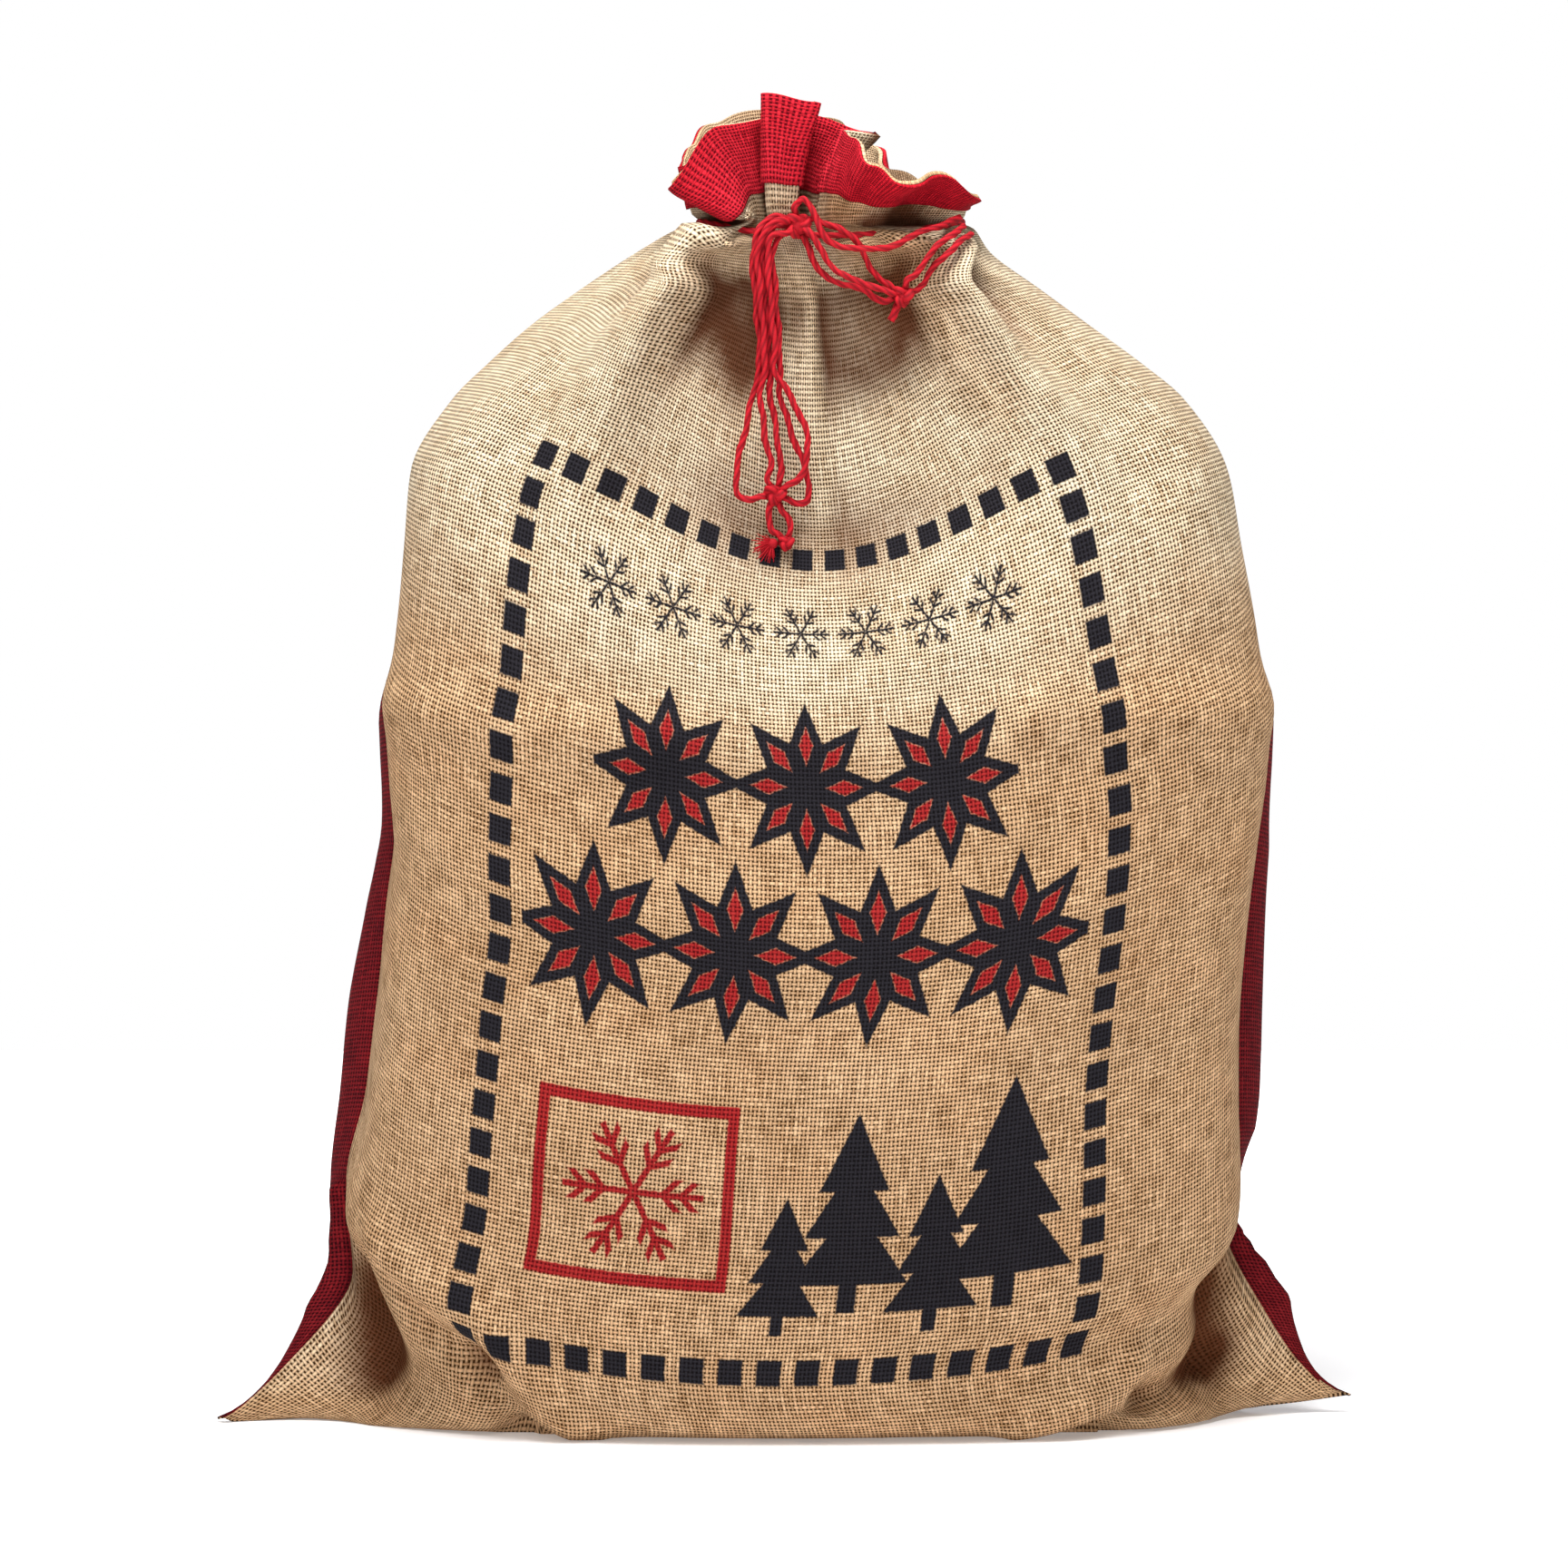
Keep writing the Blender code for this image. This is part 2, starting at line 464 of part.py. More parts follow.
def parted(grid, side):
    """Edges of a panel moved back from its side seams and bottom seam, so that the panels only meet."""
    shift = np.zeros_like(grid)
    for edge, inner in ((0, 1), (-1, -2)):
        shift[:, edge] += SEAM_GAP * unit(grid[:, inner] - grid[:, edge])
        shift[:, edge, 1] += SEAM_GAP / 2 * side
    shift[0] += SEAM_GAP * unit(grid[1] - grid[0])
    shift[0, :, 1] += SEAM_GAP * side
    return shift


def build_cloth():
    us = columns_of(FRONT_FOLDS, FRONT_STEPS), columns_of(BACK_FOLDS, BACK_STEPS)
    grids, normals = sack_grids(us, ROWS)
    jute = material("jute", (0.62, 0.42, 0.22), 0.9)
    dark_red = material("dark_red_jute", (0.25, 0.01, 0.02), 0.9)
    bright_red = material("red_heading", (0.55, 0.01, 0.04), 0.85)
    names = (("front_panel", "heading_front", FRONT, jute), ("back_panel", "heading_back", BACK, dark_red))
    for grid, normal, (panel, heading, side, mat) in zip(grids, normals, names):
        shift = parted(grid, side)
        add_sheet(panel, grid + shift, grid + shift - normal * CLOTH, side, mat)
        top = slice(HEADING_START, None)
        near = (grid + shift + normal * GAP)[top]
        far = near + normal[top] * HEADING_CLOTH
        add_sheet(heading, far, near, side, bright_red)


def knot_port(name, angle, tilt):
    """The point just off a knot's surface in the given direction."""
    knot = KNOTS[name]
    flat = math.cos(math.radians(tilt))
    across = math.cos(math.radians(angle)) * flat
    up = math.sin(math.radians(angle)) * flat
    way = np.array([across, -math.sin(math.radians(tilt)), up])
    reach = 1 / np.linalg.norm(way / np.array(knot.radii))
    return np.array(knot.middle) + way * (reach + KNOT_GAP), way


def yarn_route(yarn):
    """The points that a yarn passes through, ends included."""
    points = []
    start, way = knot_port(*yarn.start)
    points += [start, start + way * YARN / 2]
    if yarn.name.startswith("yarn_left"):
        line = np.array(BUNDLE)
        run = np.gradient(line, axis=0)
        side = np.stack([-run[:, 2], 0 * run[:, 0], run[:, 0]], axis=1)
        side /= np.linalg.norm(side, axis=1)[:, None]
        points += list(line + side * yarn.across + np.array([0, -yarn.ahead, 0]))
    points += [np.array(p, float) for p in yarn.points]
    kind, angle, tilt = yarn.end
    if kind == "tie":
        points.append(np.array(TIE_ENDS[angle]))
    elif kind in KNOTS:
        end, way = knot_port(kind, angle, tilt)
        points += [end + way * YARN / 2, end]
    return np.array(points)


def spaced(points, step):
    """Points at even steps along a smooth curve through the given ones."""
    size = np.concatenate([[0], np.cumsum(np.linalg.norm(np.diff(points, axis=0), axis=1))])
    slope = np.gradient(points, size, axis=0)
    fine = np.linspace(0, size[-1], 400)
    at = np.clip(np.searchsorted(size, fine, side="right") - 1, 0, len(size) - 2)
    width = (size[at + 1] - size[at])[:, None]
    t = ((fine - size[at]) / (size[at + 1] - size[at]))[:, None]
    curve = points[at] * (1 + 2 * t) * (1 - t) ** 2 + slope[at] * width * t * (1 - t) ** 2
    curve += points[at + 1] * t * t * (3 - 2 * t) + slope[at + 1] * width * t * t * (t - 1)
    run = np.concatenate([[0], np.cumsum(np.linalg.norm(np.diff(curve, axis=0), axis=1))])
    even = np.linspace(0, run[-1], max(3, round(run[-1] / step) + 1))
    return np.stack([np.interp(even, run, curve[:, i]) for i in range(3)], axis=1)


def add_yarn(name, points, diameter, mat, closed=False):
    curve = bpy.data.curves.new(name, "CURVE")
    curve.dimensions = "3D"
    curve.bevel_depth = diameter / 2 * MM
    curve.bevel_resolution = 2
    curve.use_fill_caps = not closed
    spline = curve.splines.new("POLY")
    spline.points.add(len(points) - 1)
    for target, point in zip(spline.points, points):
        target.co = (*(np.asarray(point) * MM), 1)
    spline.use_cyclic_u = closed
    curve.materials.append(mat)
    obj = bpy.data.objects.new(name, curve)
    bpy.context.scene.collection.objects.link(obj)
    return obj


def neck_ring():
    """The closed line of the yarn round the gathered neck."""
    row = level_values(SECTIONS, TIE_LEVEL)
    middle = (row["left"] + row["right"]) / 2
    half = (row["right"] - row["left"]) / 2
    turn = np.linspace(0, 2 * math.pi, RING_POINTS, endpoint=False)
    depth = np.where(np.sin(turn) < 0, row["front"], row["back"])
    power = 2 / CORNER_POWER
    x = middle + (half + TIE_CLEAR) * np.sign(np.cos(turn)) * np.abs(np.cos(turn)) ** power
    y = (depth + RING_DEPTH) * np.sign(np.sin(turn)) * np.abs(np.sin(turn)) ** power
    return np.stack([x, y, row["seam_z"] - RING_DIP * np.sin(turn) ** 2], axis=1)


def add_knot(name, mat):
    """A lump with three shallow grooves, where the turns of the knot bed down."""
    knot = KNOTS[name]
    mesh = bpy.data.meshes.new(name)
    shape = bmesh.new()
    bmesh.ops.create_icosphere(shape, subdivisions=2, radius=1)
    for vert in shape.verts:
        turn = math.atan2(vert.co.z, vert.co.x)
        groove = 1 - KNOT_GROOVE * abs(math.sin(1.5 * turn + 2 * vert.co.y))
        vert.co = [(m + c * groove * r) * MM for m, c, r in zip(knot.middle, vert.co, knot.radii)]
    shape.to_mesh(mesh)
    shape.free()
    mesh.materials.append(mat)
    mesh.shade_smooth()
    obj = bpy.data.objects.new(name, mesh)
    bpy.context.scene.collection.objects.link(obj)


def add_tassel(mat):
    """The frayed end: a small head with tapering strands drawn out of its left side."""
    mesh = bpy.data.meshes.new("tassel")
    shape = bmesh.new()
    bmesh.ops.create_icosphere(shape, subdivisions=2, radius=TASSEL_HEAD)
    shape.faces.ensure_lookup_table()
    facing = [(face, face.calc_center_median().normalized()) for face in shape.faces]
    outward = [face for face, way in facing if way.x < TASSEL_SPREAD and way.y < TASSEL_SPREAD][::2]
    drawn = bmesh.ops.extrude_discrete_faces(shape, faces=outward)["faces"]
    for i, face in enumerate(drawn):
        way = face.calc_center_median().normalized()
        size = TASSEL_LENGTH * (0.75 + 0.25 * math.sin(2.3 * i))
        middle = face.calc_center_median() + way * size
        middle.z -= TASSEL_DROOP * (1 + math.cos(1.7 * i))
        for vert in face.verts:
            offset = vert.co - face.calc_center_median()
            vert.co = middle + offset * TASSEL_TAPER
    for vert in shape.verts:
        vert.co = [(m + c) * MM for m, c in zip(TASSEL_MIDDLE, vert.co)]
    bmesh.ops.recalc_face_normals(shape, faces=shape.faces)
    shape.to_mesh(mesh)
    shape.free()
    mesh.materials.append(mat)
    obj = bpy.data.objects.new("tassel", mesh)
    bpy.context.scene.collection.objects.link(obj)


def build_tie():
    red = material("red_yarn", (0.65, 0.01, 0.05), 0.8)
    add_yarn("drawstring_ring", neck_ring(), YARN, red, closed=True)
    for name in KNOTS:
        add_knot(name, red)
    for yarn in YARNS:
        diameter = STUB_YARN if yarn.name.endswith("stub") else YARN
        add_yarn(yarn.name, spaced(yarn_route(yarn), YARN_STEP * YARN), diameter, red)
    add_tassel(red)


def clear_scene():
    for obj in list(bpy.data.objects):
        bpy.data.objects.remove(obj, do_unlink=True)


clear_scene()
build_cloth()
build_tie()
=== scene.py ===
import math
from collections import namedtuple
from functools import partialmethod

import bpy
import numpy as np
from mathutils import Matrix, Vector


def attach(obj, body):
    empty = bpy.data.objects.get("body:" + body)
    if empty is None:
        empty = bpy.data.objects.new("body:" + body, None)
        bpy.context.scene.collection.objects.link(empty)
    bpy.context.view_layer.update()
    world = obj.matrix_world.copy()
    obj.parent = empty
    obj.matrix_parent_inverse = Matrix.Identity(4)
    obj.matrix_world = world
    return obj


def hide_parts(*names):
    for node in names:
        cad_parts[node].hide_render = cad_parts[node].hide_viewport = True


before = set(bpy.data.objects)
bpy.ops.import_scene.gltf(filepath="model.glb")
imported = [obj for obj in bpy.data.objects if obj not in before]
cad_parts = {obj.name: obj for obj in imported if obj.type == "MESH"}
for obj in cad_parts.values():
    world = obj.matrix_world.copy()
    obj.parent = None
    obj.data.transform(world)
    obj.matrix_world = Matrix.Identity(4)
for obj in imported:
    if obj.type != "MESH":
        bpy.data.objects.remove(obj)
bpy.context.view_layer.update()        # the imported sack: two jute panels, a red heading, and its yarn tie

# The tables are in millimetres and MM turns them into the frame's metres. Each panel is a sheet laid
# out by its cut: u runs across it from the left seam (-1) to the right seam (+1), and v is the
# length of cloth up from the bottom seam.
MM = 0.001
FRONT, BACK = -1, 1
scene = bpy.context.scene

# Cloth, heading and yarn.
PANEL_HEIGHT = 668.0
PANEL_WIDTH = 500.0
CLOTH = 1.8  # thickness
HEADING_CLOTH = 1.4
HEADING_START = 629.0  # v where the red strip starts
GAP = 0.3  # between the cloth and the strip
SEAM_GAP = 0.2  # that each panel stands back from a seam
YARN = 3.0
STUB_YARN = 4.0
KNOT_GAP = 0.45  # from a knot to the ends of its yarns' routes

# Neck and the yarn round it.
TIE_LEVEL = 611.0  # v of the tie
THROAT = 11.0  # half of what stays open between front and back
THROAT_POWER = 0.25  # how soon it closes towards the seams
RING_POINTS = 384
RING_DIP = 7.0  # how much lower the yarn lies at mid front and back than at the sides
RING_DEPTH = 2.2  # how far it lies off the neck's outline at front and back
TIE_CLEAR = 1.2  # and at the sides

# Foot: how the cloth rounds onto the floor, and the flat ears at its corners.
FLOOR_ROUND = 9.0
FLOOR_LEVEL = 0.05
EAR_RISE = 0.6
LYING_POWER = 6
EAR_THICK = 10.0  # half the thickness of the flat part of an ear
EAR_POWER = 8.0
EAR_BLEND = 26.0
LEAST = 1e-6
EAR_BEND = 0.6  # u from which the ears bend
BEND_POWER = 1.5
EAR_HEIGHT = 95.0  # v up to which they do
LEFT_EAR_FORWARD = 26.0
RIGHT_EAR_LIFT = 7.0

# Front and back.
SAG_POWER = 3
BACK_SAG = 0.35  # share of the front's sag
BACK_SPREAD = 1.5
BULGE_DEPTH = 0.62  # share of the depth at which the bulge past a seam is over
EDGE_TURN = 6.0  # what the back panel needs to come round from a seam before it shows beside the front

# How finely the shapes are laid out.
PLAN_POINTS = 401  # on half a section
FRONT_STEPS = 12  # columns of faces from one fold to the next
BACK_STEPS = 14
ROW_STEP = 4.5  # mm of cloth between rows

# Camera: level with the sack's upper half and looking slightly down.
CAMERA_PLACE = (0.0, -2.4, 0.42)
CAMERA_DOWN = 3.34  # degrees
CAMERA_LENS = 125.0
CAMERA_SENSOR = 36

# Sections up the cloth. v: cloth length from the bottom seam. seam_z: height of the side seams.
# left, right: outline. over_left, over_right: how far the back panel bulges past each seam.
# front, back: depth of the panels. dip: how much lower a thread runs at mid panel than at the seams.
# spread: power of the dip across. sag: how far the front caves in under the neck. body: share of the
# width that is full, with flat ears past it.
SECTION_COLUMNS = "v seam_z left right over_left over_right front back dip spread sag body"
Section = namedtuple("Section", SECTION_COLUMNS)
SECTIONS = [Section(*row) for row in [
    (0, 0, -250, 250, 4, 6, 66, 66, 58, 0.50, 0, 0.87),
    (30, 24, -232, 237, 12, 13, 80, 84, 58, 0.50, 0, 0.87),
    (60, 47, -214, 226, 15, 15, 84, 91, 58, 0.50, 0, 0.87),
    (81, 64, -202, 215, 11, 13, 86, 93, 58, 0.50, 0, 0.89),
    (105, 88, -199, 200, 6, 4, 88, 95, 58, 0.55, 0, 0.95),
    (121, 104, -200, 203, 6, 2, 89, 96, 58, 0.55, 0, 1.00),
    (162, 145, -196, 210, 11, 9, 90, 97, 57, 0.60, 0, 1.00),
    (202, 185, -192, 211, 12, 10, 91, 97, 57, 0.65, 0, 1.00),
    (242, 225, -184, 212, 8, 8, 91, 97, 56, 0.70, 0, 1.00),
    (282, 265, -177, 214, 5, 5, 91, 96, 56, 0.80, 0, 1.00),
    (324, 307, -179, 217, 3, 2, 90, 95, 55, 0.90, 0, 1.00),
    (347, 330, -174, 211, 1, 0, 88, 94, 54, 1.00, 2, 1.00),
    (372, 355, -170, 207, 0, 0, 86, 92, 54, 1.20, 4, 1.00),
    (403, 386, -167, 201, 0, 0, 84, 91, 56, 1.60, 12, 1.00),
    (435, 418, -164, 195, 0, 0, 80, 88, 61, 2.20, 26, 1.00),
    (471, 449, -146, 176, 0, 0, 73, 78, 62, 2.80, 32, 1.00),
    (494, 465, -130, 157, 0, 0, 69, 69, 57, 3.00, 27, 1.00),
    (518, 481, -112, 135, 0, 0, 64, 62, 45, 3.00, 17, 1.00),
    (545, 497, -90, 113, 0, 0, 57, 53, 28, 3.00, 7, 1.00),
    (574, 514, -64, 90, 0, 0, 46, 43, 11, 2.00, 2, 1.00),
    (596, 524, -46, 83, 0, 0, 38, 38, 4, 2.00, 0, 1.00),
    (611, 527, -36, 77, 0, 0, 28, 30, 6, 2.00, 0, 1.00),
    (618, 529, -39, 79, 0, 0, 33, 34, 2, 2.00, 0, 1.00),
    (626, 538, -41, 80, 0, 0, 36, 36, 0, 2.00, 0, 1.00),
    (646, 554, -43, 78, 0, 0, 38, 38, -6, 2.00, 0, 1.00),
    (668, 568, -45, 76, 0, 0, 39, 39, -10, 2.00, 0, 1.00),
]]
CORNER_POWER = 2.5  # squareness of a section's corners

# Folds of each panel, from its left seam to its right seam, crests and valleys by turns.
# Each has a place across the panel, -1 to 1, and stands in from the outline by so many mm, at four
# levels: over the shoulder, at the shelf just under the tie, at the tie, and at the mouth.
# drop: how much lower its edge hangs at the mouth.
Fold = namedtuple("Fold", "shoulder shelf tie mouth shoulder_in shelf_in tie_in mouth_in drop")
FRONT_FOLDS = [Fold(*row) for row in [
    (-1.00, -1.00, -1.00, -1.00, 0, 0, 0, 0, 17),  # left seam
    (-0.78, -0.90, -0.70, -0.93, 13, 6, 9, 3, 17),
    (-0.52, -0.74, -0.45, -0.84, -9, -5, 0, -6, 31),  # left ridge, left lobe of the ruffle
    (-0.42, -0.60, -0.41, -0.54, 37, 3, 9, 0, 7),
    (-0.24, -0.36, -0.37, -0.20, 46, 9, 16, 13, 5),  # left hollow, left tuck of the pleat
    (-0.06, -0.17, -0.33, -0.29, 27, 5, 1, 0, -3),  # middle ridge and pleat
    (0.00, -0.09, -0.23, -0.02, 25, 4, 1, 1, 1),
    (0.07, 0.00, -0.17, -0.11, 42, 8, 16, 17, 5),
    (0.21, 0.12, -0.12, 0.34, 46, 9, 12, 12, 13),  # lobe behind, right hollow
    (0.31, 0.26, -0.06, 0.12, 46, 9, 5, 1, 11),  # left edge of the right lobe
    (0.40, 0.42, 0.00, 0.17, 40, 7, 3, -2, 13),
    (0.48, 0.58, 0.11, 0.26, 16, 2, 2, -9, 24),  # right lobe of the ruffle
    (0.56, 0.73, 0.24, 0.40, -9, -5, 0, -14, 31),  # right ridge
    (0.70, 0.84, 0.44, 0.62, 12, 6, 9, -8, 24),
    (0.83, 0.93, 0.72, 0.80, 3, 2, 1, -12, 32),
    (1.00, 1.00, 1.00, 1.00, 0, 0, 0, -1, 28),  # right seam
]]
BACK_FOLDS = [Fold(*row) for row in [
    (-1.00, -1.00, -1.00, -1.00, 0, 0, 0, 0, 17),
    (-0.80, -0.84, -0.82, -0.80, 8, 8, 13, 1, 8),
    (-0.60, -0.64, -0.64, -0.62, 0, 0, 0, -1, 0),
    (-0.38, -0.42, -0.42, -0.42, 20, 16, 18, 10, -2),
    (-0.18, -0.20, -0.20, -0.18, 0, 0, 0, -4, -1),
    (0.02, 0.02, 0.02, 0.02, 22, 17, 19, 14, 4),
    (0.24, 0.26, 0.26, 0.24, 0, 0, 0, -4, 13),
    (0.46, 0.50, 0.48, 0.48, 18, 15, 18, 14, 23),
    (0.66, 0.68, 0.68, 0.68, 0, 0, 0, -4, 30),
    (0.84, 0.86, 0.85, 0.86, 9, 8, 13, 6, 30),
    (1.00, 1.00, 1.00, 1.00, 0, 0, 0, -1, 28),
]]
FOLDS_START = 415.0  # v
FOLD_LEVELS = [500.0, 556.0, 588.0, TIE_LEVEL, PANEL_HEIGHT]
FOLDS_FIRST = 0.4  # share of a fold's depth at the first of these levels
CURL = 0.03  # how far a full fold's sides lean over, across the panel
CURL_POWER = 8
FULL_FOLD = 18.0  # depth from which a fold counts as full
CREASE_POWER = 12  # how late creases fade towards the seams
DROP_START = 621.0
DROP_TURN = (-0.45, 0.0)
DROP_POWERS = (0.45, 0.75)  # how soon the left and the right of the mouth hang down

# Creases and ridges laid on the panels: from (u0, v0) to (u1, v1), width and height in mm.
Crease = namedtuple("Crease", "u0 v0 u1 v1 width height")
FRONT_CREASES = [Crease(*row) for row in [
    (-0.98, 340, -0.30, 368, 12, 6.0),  # waist, left
    (-0.30, 368, 0.40, 372, 14, 3.5),  # waist, middle
    (0.40, 372, 0.99, 338, 12, 6.0),  # waist, right
    (-0.95, 322, 0.95, 322, 14, -2.5),
    (-0.86, 116, -0.60, 92, 9, -8.0),  # drawn in above the left ear
    (-0.60, 92, -0.46, 46, 9, -8.0),
    (-0.80, 130, -0.54, 110, 10, 4.0),
    (-0.54, 110, -0.38, 62, 10, 4.0),
    (0.92, 64, 0.68, 70, 9, -8.0),  # drawn in above the right ear
    (0.68, 70, 0.42, 46, 9, -7.0),
    (0.90, 84, 0.66, 90, 9, 3.0),
    (0.66, 90, 0.40, 68, 9, 3.0),
    (0.88, 30, 0.96, 14, 10, 6.0),  # rolled lobe of the right ear
    (-0.60, 592, -0.10, 597, 7, 7.0),  # shelf over the left hollow, in front of the tie
    (0.06, 596, 0.50, 592, 7, 6.0),  # shelf over the right hollow
    (-0.72, 560, -0.64, 440, 20, -6.0),  # soft valley on the left shoulder
    (0.70, 560, 0.68, 450, 20, -6.0),  # soft valley on the right shoulder
    (-0.34, 262, -0.06, 236, 34, -3.0),  # soft dents over what it holds
    (0.30, 214, 0.52, 150, 36, 3.0),
    (-0.56, 300, -0.50, 190, 30, 3.0),
    (0.66, 300, 0.60, 220, 30, -3.0),
    (-0.20, 150, 0.20, 120, 34, -3.0),
]]
BACK_CREASES = [Crease(*row) for row in [
    (-0.98, 340, 0.98, 342, 13, 3.5),  # waist
    (-0.85, 90, -0.45, 70, 13, -6.0),
    (0.45, 72, 0.85, 92, 13, -6.0),
    (-0.30, 500, -0.10, 400, 24, -5.0),
    (0.38, 510, 0.22, 390, 24, -5.0),
]]

# Knots of the tie, as lumps: middle and half sizes.
Knot = namedtuple("Knot", "middle radii")
KNOTS = {
    "knot_front": Knot((5.5, -38.6, 524.0), (6.5, 5.0, 6.0)),
    "knot_lower": Knot((-3.8, -41.0, 407.8), (5.0, 4.2, 5.2)),
    "knot_end": Knot((0.8, -41.0, 387.0), (3.6, 3.4, 3.6)),
    "knot_right": Knot((51.0, -42.0, 493.3), (5.0, 4.6, 5.0)),
}

# The hanging bundle's middle line, from the front knot down, and its yarns' places in it.
BUNDLE = [(-7.0, -42.5, 519.5), (-9.2, -43.0, 511.0), (-8.6, -42.8, 501.0), (-7.4, -42.2, 486.0)]
BUNDLE += [(-6.3, -41.5, 472.0), (-6.3, -41.5, 462.0)]

# Yarns of the tie. start, end: a knot and the direction it is left or met in, as the angle in the
# front view and the tilt to the front, in degrees. across, ahead: place in the bundle, if it runs there.
Yarn = namedtuple("Yarn", "name start end across ahead points")
YARNS = [
    Yarn("yarn_left_1", ("knot_front", 152, 0), ("knot_lower", 190, 0), -4.3, 0, [
        (-12.9, -41, 453), (-15.2, -41, 443), (-18, -41, 430), (-20.8, -41, 416), (-19.6, -41, 408),
        (-14.8, -41, 405.5),
    ]),
    Yarn("yarn_left_2", ("knot_front", 163, 38), ("knot_lower", 118, 10), -2.2, 3.5, [
        (-10.2, -44, 450), (-9, -43.5, 439), (-7.2, -42.5, 428), (-5.8, -41.8, 420),
    ]),
    Yarn("yarn_left_3", ("knot_front", 214, 0), ("knot_lower", -22, 0), 4.3, 0, [
        (-1.6, -41, 451), (1, -41, 441), (5, -41, 430), (9, -41, 419), (11, -41, 411), (9, -41, 404.8),
        (5.6, -41, 404),
    ]),
    Yarn("yarn_left_4", ("knot_front", 222, 45), ("knot_lower", 35, 25), 2.2, 3.5, [
        (1.5, -44.5, 452), (6.6, -44.8, 443), (10.2, -44.8, 431), (9.4, -44.8, 421), (5.6, -44.4, 414),
    ]),
    Yarn("yarn_left_5", ("knot_front", 183, 0), ("knot_lower", 72, 0), 0, 0, [
        (-5.6, -41, 448), (-3.4, -41, 436), (-2, -41, 424),
    ]),
    Yarn("yarn_tail_1", ("knot_lower", 245, 0), ("knot_end", 132, 0), 0, 0, [
        (-6.6, -41, 397), (-4.6, -41, 392),
    ]),
    Yarn("yarn_tail_2", ("knot_lower", 290, 0), ("knot_end", 68, 0), 0, 0, [
        (1.4, -41, 398), (3.2, -41, 393.5),
    ]),
    Yarn("yarn_right_1", ("knot_front", 98, 20), ("tie", 0, 0), 0, 0, [
        (5.6, -41, 533.5), (8.4, -42, 535.5), (11.6, -43, 531), (14.6, -44, 524), (18, -44.5, 518.5),
        (23.5, -44.5, 515), (30.5, -44.5, 513.6), (38, -44.5, 513.4), (45.5, -44, 514.6),
        (53.2, -42.5, 518), (60.5, -40.5, 521.2), (67.5, -35.5, 524), (72.5, -28, 526),
    ]),
    Yarn("yarn_right_2", ("knot_front", 22, 12), ("knot_right", 140, 0), 0, 0, [
        (16.5, -40, 524.5), (23.8, -40.4, 522.6), (30, -40.6, 518.4), (34.6, -40.4, 511),
        (38.4, -40.5, 504.4), (42.6, -41, 499.4),
    ]),
    Yarn("yarn_right_3", ("knot_front", -62, 0), ("knot_right", 196, -6), 0, 0, [
        (11.4, -40.5, 512.5), (13.4, -40.5, 507), (17.2, -40.5, 502.4), (22.6, -40.5, 499.6),
        (29.4, -40.5, 497.6), (36, -41, 494.6), (41, -41.4, 491.9),
    ]),
    Yarn("yarn_right_4", ("knot_front", -28, 40), ("knot_right", 168, 38), 0, 0, [
        (15, -45, 514), (18.6, -45.2, 508.6), (23.4, -45.2, 503.8), (29.4, -45.2, 500.4),
        (36.4, -45.6, 498), (42.4, -46.4, 496),
    ]),
    Yarn("yarn_right_5", ("knot_right", 72, 15), ("tie", 1, 0), 0, 0, [
        (56, -43.5, 502), (60.4, -43.4, 508.4), (66.4, -42, 514.6), (72.6, -37.5, 520),
    ]),
    Yarn("yarn_right_6", ("knot_right", 24, -10), ("tie", 2, 0), 0, 0, [
        (59.4, -39.8, 498.2), (64.4, -39.8, 505.2), (70.4, -40.5, 511.8), (76.4, -36.5, 517),
    ]),
    Yarn("yarn_right_stub", ("knot_right", 245, 0), ("free", 0, 0), 0, 0, [
        (47.6, -42, 485.2), (46.2, -42, 482.6),
    ]),
]
# Where the right-hand yarns come back to the yarn round the neck.
TIE_ENDS = [(76.0, -24.0, 527.6), (77.8, -28.0, 523.8), (81.0, -28.0, 520.4)]
# Short yarns, and the longer one that each hangs with.
SHORT_YARNS = {"yarn_tail_1": "yarn_left_5", "yarn_tail_2": "yarn_left_3"}
SHORT_YARNS["yarn_right_stub"] = "yarn_right_2"


# --- Camera ---


def add_camera():
    camera = bpy.data.objects.new("camera", bpy.data.cameras.new("camera"))
    camera.data.sensor_width = CAMERA_SENSOR
    camera.data.lens = CAMERA_LENS
    camera.location = CAMERA_PLACE
    camera.rotation_euler = (math.radians(90 - CAMERA_DOWN), 0, 0)
    scene.collection.objects.link(camera)
    scene.camera = camera


# --- Shared shapes ---


def column(table, name):
    return np.array([getattr(row, name) for row in table], float)


def cubic(t, low, high, low_rise, high_rise):
    """From low to high as t goes from 0 to 1, leaving and coming in with the given rises."""
    start = low * (1 + 2 * t) * (1 - t) ** 2 + low_rise * t * (1 - t) ** 2
    return start + high * t * t * (3 - 2 * t) + high_rise * t * t * (t - 1)


def smooth(xs, ys, x):
    """Cubic through the table's points, with slopes kept between those of its neighbours."""
    step = np.diff(xs)
    rise = np.diff(ys) / step
    slope = np.zeros(len(xs))
    same = rise[1:] * rise[:-1] > 0
    mean = 2 * rise[1:] * rise[:-1] / np.where(same, rise[1:] + rise[:-1], 1)
    slope[1:-1] = np.where(same, mean, 0)
    slope[0] = rise[0]
    slope[-1] = rise[-1]
    at = np.clip(np.searchsorted(xs, x, side="right") - 1, 0, len(step) - 1)
    t = np.clip((x - xs[at]) / step[at], 0, 1)
    return cubic(t, ys[at], ys[at + 1], slope[at] * step[at], slope[at + 1] * step[at])


def soft_min(a, b, radius):
    """The smaller of two values, rounded where they cross."""
    near = np.clip(radius - np.abs(a - b), 0, None) / radius
    return np.minimum(a, b) - radius * near**2 / 4


